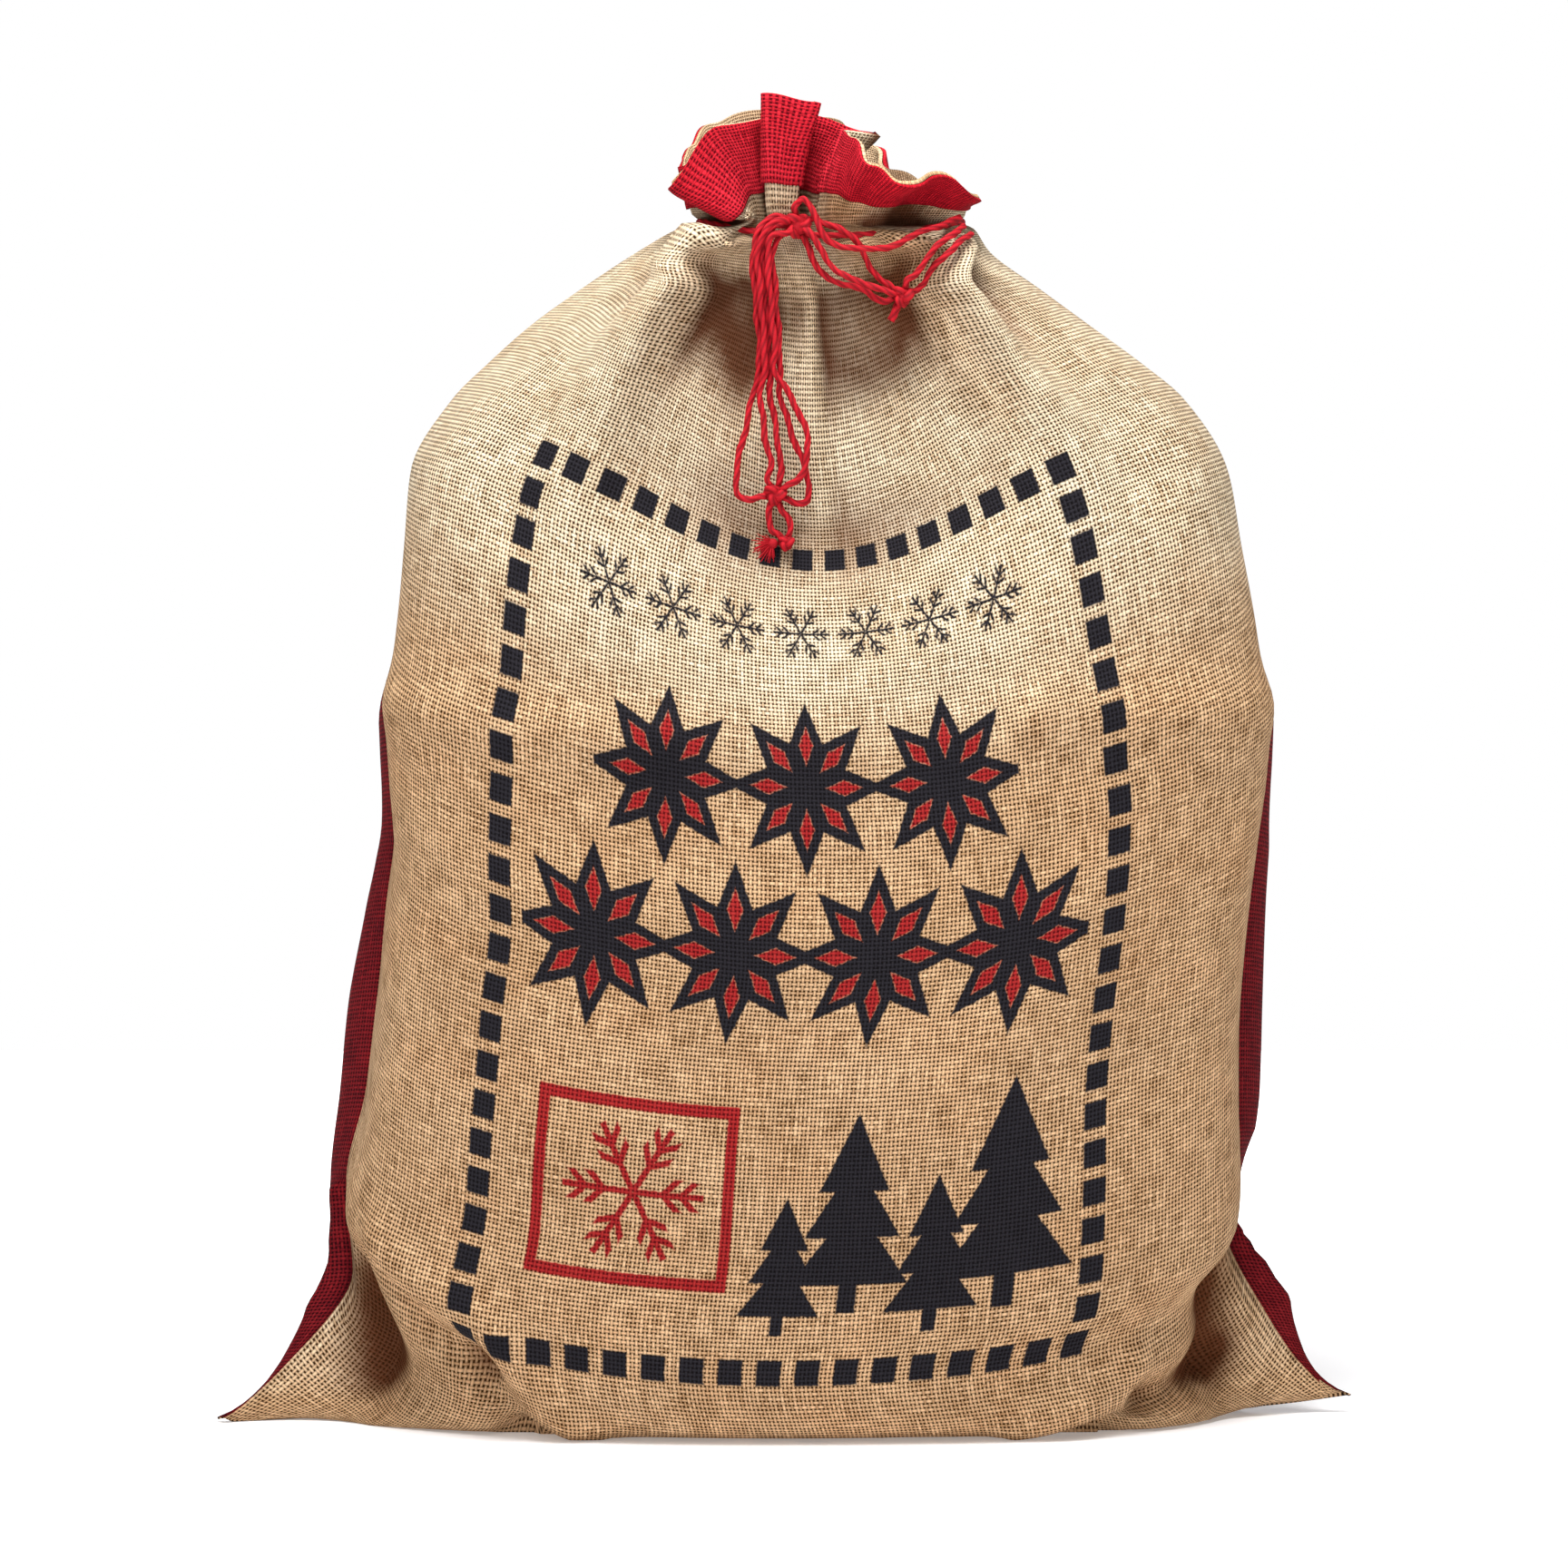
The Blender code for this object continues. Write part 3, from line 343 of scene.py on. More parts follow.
def level_values(table, v):
    xs = column(table, "v")
    names = [name for name in table[0]._fields if name != "v"]
    return {name: float(smooth(xs, column(table, name), v)) for name in names}


def unit(vectors):
    return vectors / np.maximum(np.linalg.norm(vectors, axis=-1), 1e-9)[..., None]


def add_mesh(name, points, faces, materials):
    mesh = bpy.data.meshes.new(name)
    mesh.from_pydata([tuple(p) for p in np.asarray(points) * MM], [], faces)
    for mat in materials:
        mesh.materials.append(mat)
    mesh.shade_smooth()
    obj = bpy.data.objects.new(name, mesh)
    scene.collection.objects.link(obj)
    return obj


def lay_out(obj, places, values):
    """Gives a mesh's points their places on the cut or the yarn as UV, and the named values."""
    corners = np.empty(len(obj.data.loops), int)
    obj.data.loops.foreach_get("vertex_index", corners)
    layer = obj.data.uv_layers.new(name="cut")
    layer.data.foreach_set("uv", (places * MM)[corners].ravel())
    for key, value in values.items():
        layer = obj.data.attributes.new(key, "FLOAT", "POINT")
        layer.data.foreach_set("value", value)


def mounted(obj, slot, *nodes):
    """Ties a piece to the sack's body and hides the imported nodes that it stands for. slot: not used."""
    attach(obj, "root")
    if nodes:
        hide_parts(*nodes)
    return obj


# --- Shader building ---


class Value:
    """A number or a shader socket, with arithmetic that adds Math nodes."""

    def __init__(self, tree, source):
        self.tree = tree
        self.source = source

    def op(self, kind, *others):
        node = self.tree.nodes.new("ShaderNodeMath")
        node.operation = kind
        for socket, item in zip(node.inputs, (self, *others)):
            source = item.source if isinstance(item, Value) else item
            if isinstance(source, (int, float)):
                socket.default_value = source
            else:
                self.tree.links.new(source, socket)
        return Value(self.tree, node.outputs[0])

    def __rsub__(self, other):
        return Value(self.tree, other).op("SUBTRACT", self)

    def less(self, other, soft):
        """1 below the other value, 0 above it, over a soft edge."""
        return ((other - self) / soft + 0.5).clamp()

    def clamp(self):
        return self.max(0.0).min(1.0)


MATH_NODES = {"__add__": "ADD", "__radd__": "ADD", "__sub__": "SUBTRACT", "__mul__": "MULTIPLY"}
MATH_NODES |= {"__rmul__": "MULTIPLY", "__truediv__": "DIVIDE"}
MATH_NODES |= {"abs": "ABSOLUTE", "max": "MAXIMUM", "min": "MINIMUM"}
for name, kind in MATH_NODES.items():
    setattr(Value, name, partialmethod(Value.op, kind))


class Shade:
    """A material under construction."""

    def __init__(self, name):
        self.mat = bpy.data.materials.new(name)
        self.mat.use_nodes = True
        self.tree = self.mat.node_tree
        self.shader = self.tree.nodes["Principled BSDF"]

    def node(self, kind, **inputs):
        node = self.tree.nodes.new(kind)
        for name, item in inputs.items():
            self.put(item, node.inputs[name.replace("_", " ")])
        return node

    def put(self, item, socket):
        item = item.source if isinstance(item, Value) else item
        if isinstance(item, (int, float, tuple)):
            socket.default_value = item
        else:
            self.tree.links.new(item, socket)

    def set(self, name, item):
        self.put(item, self.shader.inputs[name])

    def cloth_place(self):
        """The place on the cut cloth, in mm across from the middle and up from the bottom seam."""
        where = self.node("ShaderNodeUVMap").outputs[0]
        split = self.node("ShaderNodeSeparateXYZ", Vector=where)
        return Value(self.tree, split.outputs[0]) / MM, Value(self.tree, split.outputs[1]) / MM

    def attribute(self, name):
        node = self.node("ShaderNodeAttribute")
        node.attribute_name = name
        return Value(self.tree, node.outputs["Fac"])

    def vector(self, x, y, z=0.0):
        return self.node("ShaderNodeCombineXYZ", X=x, Y=y, Z=z).outputs[0]

    def noise(self, vector, scale, detail=2.0, rough=0.5):
        kind = "ShaderNodeTexNoise"
        node = self.node(kind, Vector=vector, Scale=scale, Detail=detail, Roughness=rough)
        return Value(self.tree, node.outputs["Fac"])

    def ramp(self, value, stops):
        node = self.node("ShaderNodeValToRGB", Fac=value)
        elements = node.color_ramp.elements
        while len(elements) < len(stops):
            elements.new(0.5)
        for element, (place, colour) in zip(elements, stops):
            element.position = place
            element.color = (*colour, 1)
        return node.outputs[0]

    def mix(self, fac, a, b, kind="MIX"):
        node = self.tree.nodes.new("ShaderNodeMix")
        node.data_type = "RGBA"
        node.blend_type = kind
        for socket, item in ((node.inputs[0], fac), (node.inputs[6], a), (node.inputs[7], b)):
            if isinstance(item, tuple) and len(item) == 3:
                item = (*item, 1)
            self.put(item, socket)
        return node.outputs[2]

    def bump(self, height, strength, distance):
        node = self.node("ShaderNodeBump", Height=height, Strength=strength, Distance=distance)
        self.tree.links.new(node.outputs[0], self.shader.inputs["Normal"])


# --- Weave ---

PITCH = 1.9  # mm from thread to thread
WEAVE_WOBBLE = 0.9  # mm that a thread strays, over so many mm of cloth
WOBBLE_OVER = (60, 50, 70)
THREAD_HALF = 0.305  # of the pitch, and how much this varies along a thread
THREAD_VARIES = 0.22
SLUB_LENGTH = 9  # threads
OVER_RISE = 0.6  # share of a thread's height that comes from passing over another
COVER_EDGE = 4  # how sharp the edge of a hole is

Weave = namedtuple("Weave", "height cover thread fibre")


def threads(shade, x, y):
    """A plain weave: its height, where it covers, and the brightness of each thread and fibre."""
    over, along, beside = WOBBLE_OVER
    x = x + (shade.noise(shade.vector(x / over, y / over), 1.0) - 0.5) * 2 * WEAVE_WOBBLE
    y = y + (shade.noise(shade.vector(y / along, x / beside, 4.0), 1.0) - 0.5) * 2 * WEAVE_WOBBLE
    x = x / PITCH
    y = y / PITCH
    col = x.op("FLOOR")
    row = y.op("FLOOR")
    slub_x = shade.noise(shade.vector(col, y / SLUB_LENGTH, 1.0), 1.0, 1.0)
    slub_y = shade.noise(shade.vector(x / SLUB_LENGTH, row, 7.0), 1.0, 1.0)
    away_x = (x - col - 0.5).abs() / ((slub_x - 0.5) * THREAD_VARIES * 2 + THREAD_HALF)
    away_y = (y - row - 0.5).abs() / ((slub_y - 0.5) * THREAD_VARIES * 2 + THREAD_HALF)
    round_x = (1 - away_x * away_x).max(0.0).op("SQRT")
    round_y = (1 - away_y * away_y).max(0.0).op("SQRT")
    over_x = ((y - 0.5 + col) * math.pi).op("COSINE") * 0.5 + 0.5
    over_y = ((x + 0.5 + row) * math.pi).op("COSINE") * 0.5 + 0.5
    high_x = round_x * (over_x * OVER_RISE + (1 - OVER_RISE))
    high_y = round_y * (over_y * OVER_RISE + (1 - OVER_RISE))
    height = high_x.max(high_y)
    cover = (round_x.max(round_y) * COVER_EDGE).clamp()
    on_x = (high_x - high_y).less(0.0, -0.3)
    fibre = shade.noise(shade.vector(x * 3, y * 3), 1.6, 3.0, 0.7)
    thread = slub_x * on_x + slub_y * (1 - on_x)
    return Weave(height, cover, thread, fibre)


# Thread colours where it hangs and, with painted light, where it faces up; painted shade in its holes and
# hollows.
Cloth = namedtuple("Cloth", "light dark pale pale_dark hole hollow")
JUTE = Cloth(
    light=(0.86, 0.56, 0.32),
    dark=(0.50, 0.28, 0.13),
    pale=(0.95, 0.80, 0.58),
    pale_dark=(0.66, 0.47, 0.28),
    hole=(0.045, 0.018, 0.005),
    hollow=(0.10, 0.022, 0.005),
)
DARK_RED = Cloth(
    light=(0.24, 0.010, 0.014),
    dark=(0.12, 0.004, 0.008),
    pale=(0.28, 0.018, 0.022),
    pale_dark=(0.16, 0.006, 0.01),
    hole=(0.02, 0.0, 0.002),
    hollow=(0.05, 0.0, 0.003),
)
BRIGHT_RED = Cloth(
    light=(0.66, 0.012, 0.026),
    dark=(0.36, 0.004, 0.012),
    pale=(0.76, 0.03, 0.05),
    pale_dark=(0.46, 0.01, 0.02),
    hole=(0.09, 0.0, 0.004),
    hollow=(0.14, 0.0, 0.006),
)


TONE_THREAD, TONE_FIBRE, TONE_PATCH = 1.6, 0.9, 0.6  # what makes the cloth lighter and darker
TONE_DARK, TONE_LIGHT = 0.1, 0.8
PATCH_SIZE = 55  # mm
STAIN_SIZE = (42, 34)
STAIN = 2.4
STAIN_SHARE = 0.5
STAIN_WARM = (1.0, 0.84, 0.72)
STAIN_COOL = (0.86, 0.90, 0.95)
HOLE_SHADE_SHARE = 0.75  # how far the painted shade of the holes and of the hollows takes over
HOLLOW_SHADE_SHARE = 0.93
ROUGH_CLOTH = 0.88
CLOTH_SHINE = 0.08
CLOTH_BUMP = (0.8, 0.6 * MM)


def cloth_material(name, cloth, print_design=None):
    """Woven jute: threads dark to light, painted light where it faces up, painted shade in holes and
    hollows, any print.
    """
    shade = Shade(name)
    x, y = shade.cloth_place()
    weave = threads(shade, x, y)
    patches = shade.noise(shade.vector(x / PATCH_SIZE, y / PATCH_SIZE, 2.0), 1.0, 3.0)
    tone = (weave.thread - 0.5) * TONE_THREAD + (weave.fibre - 0.5) * TONE_FIBRE
    tone = tone + (patches - 0.5) * TONE_PATCH + 0.5
    colour = shade.ramp(tone, [(TONE_DARK, cloth.dark), (TONE_LIGHT, cloth.light)])
    pale = shade.ramp(tone, [(TONE_DARK, cloth.pale_dark), (TONE_LIGHT, cloth.pale)])
    # Painted light: paler where the cloth faces up and on its upper part, as if lit from above.
    colour = shade.mix(shade.attribute("facing_up"), colour, pale)
    stain = (shade.noise(shade.vector(x / STAIN_SIZE[0], y / STAIN_SIZE[1], 9.0), 1.0, 2.0) - 0.5) * STAIN
    colour = shade.mix(stain.clamp() * STAIN_SHARE, colour, STAIN_WARM, "MULTIPLY")
    colour = shade.mix((0 - stain).clamp() * STAIN_SHARE, colour, STAIN_COOL, "MULTIPLY")
    # Painted shade low in the weave, between the threads, and in the holes of the weave.
    deep = (weave.height * 1.7 - 0.5).clamp()
    colour = shade.mix(deep, shade.mix(HOLE_SHADE_SHARE, colour, cloth.hole), colour)
    # Painted shade in the hollows of the folds.
    colour = shade.mix(shade.attribute("hollow"), colour, shade.mix(HOLLOW_SHADE_SHARE, colour, cloth.hollow))
    colour = shade.mix(weave.cover, cloth.hole, colour)
    if print_design:
        colour = print_design(shade, x, y, colour, weave)
    shade.set("Base Color", colour)
    shade.set("Roughness", (weave.fibre - 0.5) * 0.2 + ROUGH_CLOTH)
    shade.set("Specular IOR Level", CLOTH_SHINE)
    shade.bump(weave.height + (weave.fibre - 0.5) * 0.3, *CLOTH_BUMP)
    return shade.mat


# --- Print ---

# Inks, each between the threads, where the darker is painted shade, and on top of them.
BLACK_IN_SHADE, BLACK_TOP = (0.004, 0.003, 0.004), (0.026, 0.024, 0.030)
RED_IN_SHADE, RED_TOP = (0.09, 0.002, 0.004), (0.46, 0.012, 0.018)
FRAME_MIDDLE = (-9.0, 284.0)  # of the dashed border, in mm on the cut
DASH_PITCH = (17.6, 16.1)
DASH_COUNT = (16, 22)
FRAME_HALF = tuple(pitch * count / 2 for pitch, count in zip(DASH_PITCH, DASH_COUNT))
DASH = 5.6  # half a dash


def rect(x, y, half_x, half_y):
    """Distance outside a rectangle, less than 0 inside."""
    return (x.abs() - half_x).max(y.abs() - half_y)


def repeat(x, pitch):
    """The distance from the nearest of evenly spaced marks."""
    return x - (x / pitch).op("ROUND") * pitch


def dashed_border(x, y):
    x = x - FRAME_MIDDLE[0]
    y = y - FRAME_MIDDLE[1]
    along_x = rect(repeat(x, DASH_PITCH[0]), y.abs() - FRAME_HALF[1], DASH, DASH)
    along_x = along_x.max(x.abs() - FRAME_HALF[0] - DASH)
    along_y = rect(x.abs() - FRAME_HALF[0], repeat(y, DASH_PITCH[1]), DASH, DASH)
    along_y = along_y.max(y.abs() - FRAME_HALF[1] - DASH)
    return along_x.min(along_y)


def sector(x, y, count):
    """Place within the nearest of so many rays: along it and, without sign, beside it."""
    angle = y.op("ARCTAN2", x)
    step = 2 * math.pi / count
    turn = repeat(angle, step)
    far = (x * x + y * y).op("SQRT")
    return far * turn.op("COSINE"), far * turn.op("SINE").abs()


# Shapes of the motifs, as shares of their size.
PETAL_MIDDLE, PETAL_HALF, PETAL_WIDE = 0.56, 0.44, 0.36
PETAL_EDGE = 0.16
FLAKE_LINE = 0.045  # half the width of its lines
TWIGS = ((0.42, 0.22), (0.68, 0.2))  # where each pair leaves the arm, and how far it reaches out
TWIG_SLANT = 0.7
TRUNK = (0.06, 0.05, 0.08)  # middle height, half width, half height
TIERS = ((0.12, 0.55, 0.32), (0.36, 0.77, 0.26), (0.6, 1.0, 0.19))  # foot, top, half width
TIER_EDGE = 0.85


def petal_star(x, y, size):
    """An eight-petalled star, as knitted into winter patterns."""
    along, beside = sector(x, y, 8)
    petal = (along - size * PETAL_MIDDLE).abs() / (size * PETAL_HALF)
    return (petal + beside / (size * PETAL_WIDE * 0.5) - 1) * size * PETAL_EDGE


def snowflake(x, y, size):
    along, beside = sector(x, y, 6)
    arm = rect(along - size / 2, beside, size / 2, size * FLAKE_LINE)
    for place, reach in TWIGS:
        out = along - size * place
        slant = (out - beside).abs() * TWIG_SLANT - size * FLAKE_LINE
        arm = arm.min(slant.max(beside - size * reach))
    return arm


def fir(x, y, height):
    """A fir in three tiers on a short trunk, standing at y = 0."""
    middle, half_x, half_y = TRUNK
    shape = rect(x, y - height * middle, height * half_x, height * half_y)
    for foot, top, half in TIERS:
        side = x.abs() - (height * top - y) * (half / (top - foot))
        shape = shape.min((side * TIER_EDGE).max(height * foot - y))
    return shape


# Layout inside the border, in mm on the cut: a row of small snowflakes, rows of stars, a framed
# snowflake to the left and firs to the right.
ROW_MIDDLE = -10
Row = namedtuple("Row", "v shift pitch size half_x half_y")
FLAKE_ROW = Row(424, 0, 32, 14, 112, 20)
STAR_ROWS = [Row(354, 0, 64, 31, 95, 40), Row(284, 32, 64, 33, 127, 40)]
STAR_EDGE = 2.1  # half the width of the black round a star
Framed = namedtuple("Framed", "x v half_x half_y inset line size")
FRAMED_FLAKE = Framed(-78, 180, 46, 40, 3, 2.6, 32)
Fir = namedtuple("Fir", "x v height")
FIRS = [Fir(-8, 124, 58), Fir(22, 134, 84), Fir(60, 124, 66), Fir(92, 132, 96)]
INK_SOFT = 0.8  # mm over which an edge of ink fades
INK_WANDER = 1.2
INK_OVER, INK_FIBRE = 0.9, 0.6  # how far a thread's height (painted shade low down) and its fibres lighten the ink
RED_SHARE = 0.97


def repeated(motif, row, x, y):
    """A motif repeated along a row and cut off at its ends."""
    x = x - ROW_MIDDLE
    y = y - row.v
    return motif(repeat(x + row.shift, row.pitch), y, row.size).max(rect(x, y, row.half_x, row.half_y))


def sack_print(shade, x, y, colour, weave):
    """A printed winter design: dashed border, stars, firs and a framed snowflake."""
    wander = (shade.noise(shade.vector(x / 2, y / 2), 1.0) - 0.5) * INK_WANDER
    black = dashed_border(x, y).min(repeated(snowflake, FLAKE_ROW, x, y))
    upper, lower = (repeated(petal_star, row, x, y) for row in STAR_ROWS)
    red = upper.min(lower)
    black = black.min(red.abs() - STAR_EDGE)
    framed = FRAMED_FLAKE
    frame_x, frame_y = x - framed.x, y - framed.v
    edge = rect(frame_x, frame_y, framed.half_x, framed.half_y)
    red = red.min((edge + framed.inset).abs() - framed.line)
    red = red.min(snowflake(frame_x, frame_y, framed.size))
    for place in FIRS:
        black = black.min(fir(x - place.x, y - place.v, place.height))
    # Painted shade: the ink is darker where the weave lies low.
    top = (weave.height * INK_OVER + (weave.fibre - 0.5) * INK_FIBRE).clamp()
    black_ink = (black + wander).less(0.0, INK_SOFT)
    red_ink = (red + wander).less(0.0, INK_SOFT) * (1 - black_ink) * RED_SHARE
    inked = shade.mix(black_ink, colour, shade.mix(top, BLACK_IN_SHADE, BLACK_TOP))
    return shade.mix(red_ink, inked, shade.mix(top, RED_IN_SHADE, RED_TOP))


# --- Cloth ---


def outline(side, row):
    """Half of a section, from the left seam to the right seam, as a fine plan polyline."""
    turn = np.sin(np.linspace(-1, 1, PLAN_POINTS) * math.pi / 2)
    left = row["left"] + row["over_left"]
    right = row["right"] - row["over_right"]
    depth = row["front"] if side == FRONT else row["back"]
    full = depth * (1 - np.abs(turn) ** CORNER_POWER) ** (1 / CORNER_POWER)
    body = depth * np.clip(1 - np.abs(turn / row["body"]) ** CORNER_POWER, 0, 1) ** (1 / CORNER_POWER)
    ear = EAR_THICK * (1 - np.abs(turn) ** EAR_POWER) ** (1 / CORNER_POWER)
    reach = -soft_min(-body, -ear, EAR_BLEND * (1 - np.abs(turn) ** EAR_POWER) + LEAST)
    bulge = 0.0
    if side == BACK:
        over = np.where(turn < 0, -row["over_left"], row["over_right"])
        over = over + np.clip(over, -EDGE_TURN, EDGE_TURN)
        bulge = over * np.sin(math.pi * np.clip(full / (BULGE_DEPTH * depth), 0, 1))
    x = (left + right) / 2 + (right - left) / 2 * turn + bulge
    return np.stack([x, side * reach], axis=1)


def fold_values(folds, us, v):
    """For each u: its place across the panel at level v, how far it stands in, and its drop."""
    cuts = column(folds, "shoulder")
    cell = np.clip(np.searchsorted(cuts, us, side="right") - 1, 0, len(cuts) - 2)
    t = (us - cuts[cell]) / (cuts[cell + 1] - cuts[cell])
    ease = (1 - np.cos(math.pi * t)) / 2
    levels = np.array([FOLDS_START] + FOLD_LEVELS)
    names = ("shoulder", "shelf", "tie", "mouth")
    across = [[fold.shoulder] * 2 + [getattr(fold, name) for name in names] for fold in folds]
    stands_in = [[getattr(fold, name + "_in") for name in names] for fold in folds]
    stands_in = [[0, FOLDS_FIRST * row[0]] + row for row in stands_in]
    places = np.array([smooth(levels, np.array(row, float), v) for row in across])
    depths = np.array([smooth(levels, np.array(row, float), v) for row in stands_in])
    over_tie = np.clip((v - DROP_START) / (PANEL_HEIGHT - DROP_START), 0, 1)
    power = np.interp(cuts, DROP_TURN, DROP_POWERS)
    drops = column(folds, "drop") * over_tie**power
    place = np.interp(us, cuts, places)
    gather = np.clip((v - FOLD_LEVELS[1]) / (TIE_LEVEL - FOLD_LEVELS[1]), 0, 1)
    rise = depths[cell + 1] - depths[cell]
    lean = CURL * gather * np.clip(np.abs(rise) / FULL_FOLD, 0, 1) * np.sin(2 * math.pi * t)
    place = place + lean * (1 - np.abs(us) ** CURL_POWER)
    depth = depths[cell] + rise * ease
    drop = drops[cell] + (drops[cell + 1] - drops[cell]) * ease
    return np.clip(place, -1, 1), depth, drop


def panel_row(side, folds, us, v):
    """The points of one thread of a panel, before its creases."""
    row = level_values(SECTIONS, v)
    place, inward, drop = fold_values(folds, us, v)
    plan = outline(side, row)
    length = np.concatenate([[0], np.cumsum(np.linalg.norm(np.diff(plan, axis=0), axis=1))])
    along = 2 * length / length[-1] - 1
    x = np.interp(place, along, plan[:, 0])
    y = np.interp(place, along, plan[:, 1])
    tangent = np.gradient(plan, axis=0)
    tangent /= np.linalg.norm(tangent, axis=1)[:, None]
    normal_x = side * np.interp(place, along, -tangent[:, 1])
    normal_y = side * np.interp(place, along, tangent[:, 0])
    middle = np.cos(math.pi / 2 * us)
    sag = row["sag"] if side == FRONT else BACK_SAG * row["sag"]
    inward = inward + sag * middle**SAG_POWER
    x = x - normal_x * inward
    y = y - normal_y * inward
    lying = v * (1 - EAR_RISE * np.abs(us) ** LYING_POWER)
    reach = soft_min(lying + 0 * y, side * y, FLOOR_ROUND)
    kept_open = (THROAT + CLOTH) * middle**THROAT_POWER * min(v / FOLDS_START, 1)
    reach = np.maximum(reach, np.minimum(kept_open, lying))
    dip = row["dip"]
    spread = row["spread"] if side == FRONT else max(row["spread"], BACK_SPREAD)
    z = row["seam_z"] - dip * middle**spread
    z = -soft_min(-z, 0 * z, FLOOR_ROUND) - drop
    z = np.where(z < FLOOR_LEVEL, 0, z)
    bend = np.clip((np.abs(us) - EAR_BEND) / (1 - EAR_BEND), 0, 1) ** BEND_POWER
    bend = bend * max(1 - v / EAR_HEIGHT, 0)
    y = side * reach - bend * np.where(us < 0, LEFT_EAR_FORWARD, 0)
    return np.stack([x, y, z + bend * np.where(us > 0, RIGHT_EAR_LIFT, 0)], axis=1)


def normals_of(grid, side):
    """Sum of the faces' outward normals at each point of a grid of rows."""
    across = grid[:-1, 1:] - grid[:-1, :-1]
    up = grid[1:, :-1] - grid[:-1, :-1]
    face = np.cross(across, up) + np.cross(grid[1:, 1:] - grid[1:, :-1], grid[1:, 1:] - grid[:-1, 1:])
    face = -side * unit(face)
    total = np.zeros_like(grid)
    for down in (0, 1):
        for over in (0, 1):
            rows = slice(down, grid.shape[0] - 1 + down)
            cols = slice(over, grid.shape[1] - 1 + over)
            total[rows, cols] += face
    return total


def shared_normals(grids, us):
    """Unit normals of both panels, the same on both sides of every seam."""
    a = unit(normals_of(grids[0], FRONT))
    b = unit(normals_of(grids[1], BACK))
    for edge in (0, -1):
        a[:, edge] = b[:, edge] = unit(a[:, edge] + b[:, edge])
    low_a, low_b = a[0].copy(), b[0].copy()
    for i in range(3):
        a[0, :, i] += np.interp(us[0], us[1], low_b[:, i])
        b[0, :, i] += np.interp(us[1], us[0], low_a[:, i])
    return [unit(n) for n in (a, b)]


def crease_lift(creases, us, vs):
    """How far the creases lift the cloth at each (row, column)."""
    u, v = np.meshgrid(us * PANEL_WIDTH / 2, vs)
    lift = np.zeros_like(u)
    for crease in creases:
        start = np.array([crease.u0 * PANEL_WIDTH / 2, crease.v0])
        run = np.array([crease.u1 * PANEL_WIDTH / 2, crease.v1]) - start
        size = np.linalg.norm(run)
        t = ((u - start[0]) * run[0] + (v - start[1]) * run[1]) / size**2
        t = np.clip(t, 0, 1)
        away = np.hypot(u - start[0] - t * run[0], v - start[1] - t * run[1])
        lift += crease.height * np.exp(-((away / crease.width) ** 2))
    return lift


# Places where the cloth is eased: the middle, how far round it, and how strongly.
Eased = namedtuple("Eased", "u v reach_u reach_v share")
FRONT_EASED = [
    Eased(-1.0, 0, 0.16, 45, 1.0),  # ear tips
    Eased(1.0, 0, 0.16, 45, 1.0),
    Eased(-0.35, 594, 0.28, 16, 0.8),  # shelf
    Eased(0.20, 594, 0.28, 16, 0.8),
]
BACK_EASED = FRONT_EASED[:2]
EASE_ROUNDS = 30
EASE_OVER = 1.5  # how far past its reach the easing runs out


def ease_cloth(grid, us, vs, places):
    """Evens out the surface round the listed places, with its edges left where they are."""
    u, v = np.meshgrid(us, vs)
    weight = np.zeros_like(u)
    for place in places:
        away = np.hypot((u - place.u) / place.reach_u, (v - place.v) / place.reach_v)
        weight = np.maximum(weight, place.share * np.clip(EASE_OVER - away, 0, 1))
    inner = (slice(1, -1), slice(1, -1))
    weight = weight[inner][..., None]
    for _ in range(EASE_ROUNDS):
        around = grid[2:, 1:-1] + grid[:-2, 1:-1] + grid[1:-1, 2:] + grid[1:-1, :-2]
        grid[inner] += weight * (around / 4 - grid[inner])


def columns_of(folds, steps):
    """Places across a panel, so many to each side of a fold."""
    cuts = column(folds, "shoulder")
    return np.interp(np.arange(steps * (len(cuts) - 1) + 1) / steps, np.arange(len(cuts)), cuts)


def sack_grids(us, vs):
    """Outer surfaces and unit normals of the front and back panels."""
    panels = ((FRONT, FRONT_FOLDS), (BACK, BACK_FOLDS))
    grids = [np.array([panel_row(*panel, u, v) for v in vs]) for u, panel in zip(us, panels)]
    for grid, u, eased in zip(grids, us, (FRONT_EASED, BACK_EASED)):
        ease_cloth(grid, u, vs, eased)
    normals = shared_normals(grids, us)
    for grid, normal, u, creases in zip(grids, normals, us, (FRONT_CREASES, BACK_CREASES)):
        lift = crease_lift(creases, u, np.array(vs)) * (1 - np.abs(u) ** CREASE_POWER)
        lift = np.where(grid[:, :, 2] > 0, lift, 0)
        grid += normal * lift[:, :, None]
        grid[:, :, 2] = np.maximum(grid[:, :, 2], 0)
    return grids, shared_normals(grids, us)


def parted(grid, side):
    """Edges of a panel moved back from its side seams and bottom seam, so that the panels only meet."""
    shift = np.zeros_like(grid)
    for edge, inner in ((0, 1), (-1, -2)):
        shift[:, edge] += SEAM_GAP * unit(grid[:, inner] - grid[:, edge])
        shift[:, edge, 1] += SEAM_GAP / 2 * side
    shift[0] += SEAM_GAP * unit(grid[1] - grid[0])
    shift[0, :, 1] += SEAM_GAP * side
    return shift


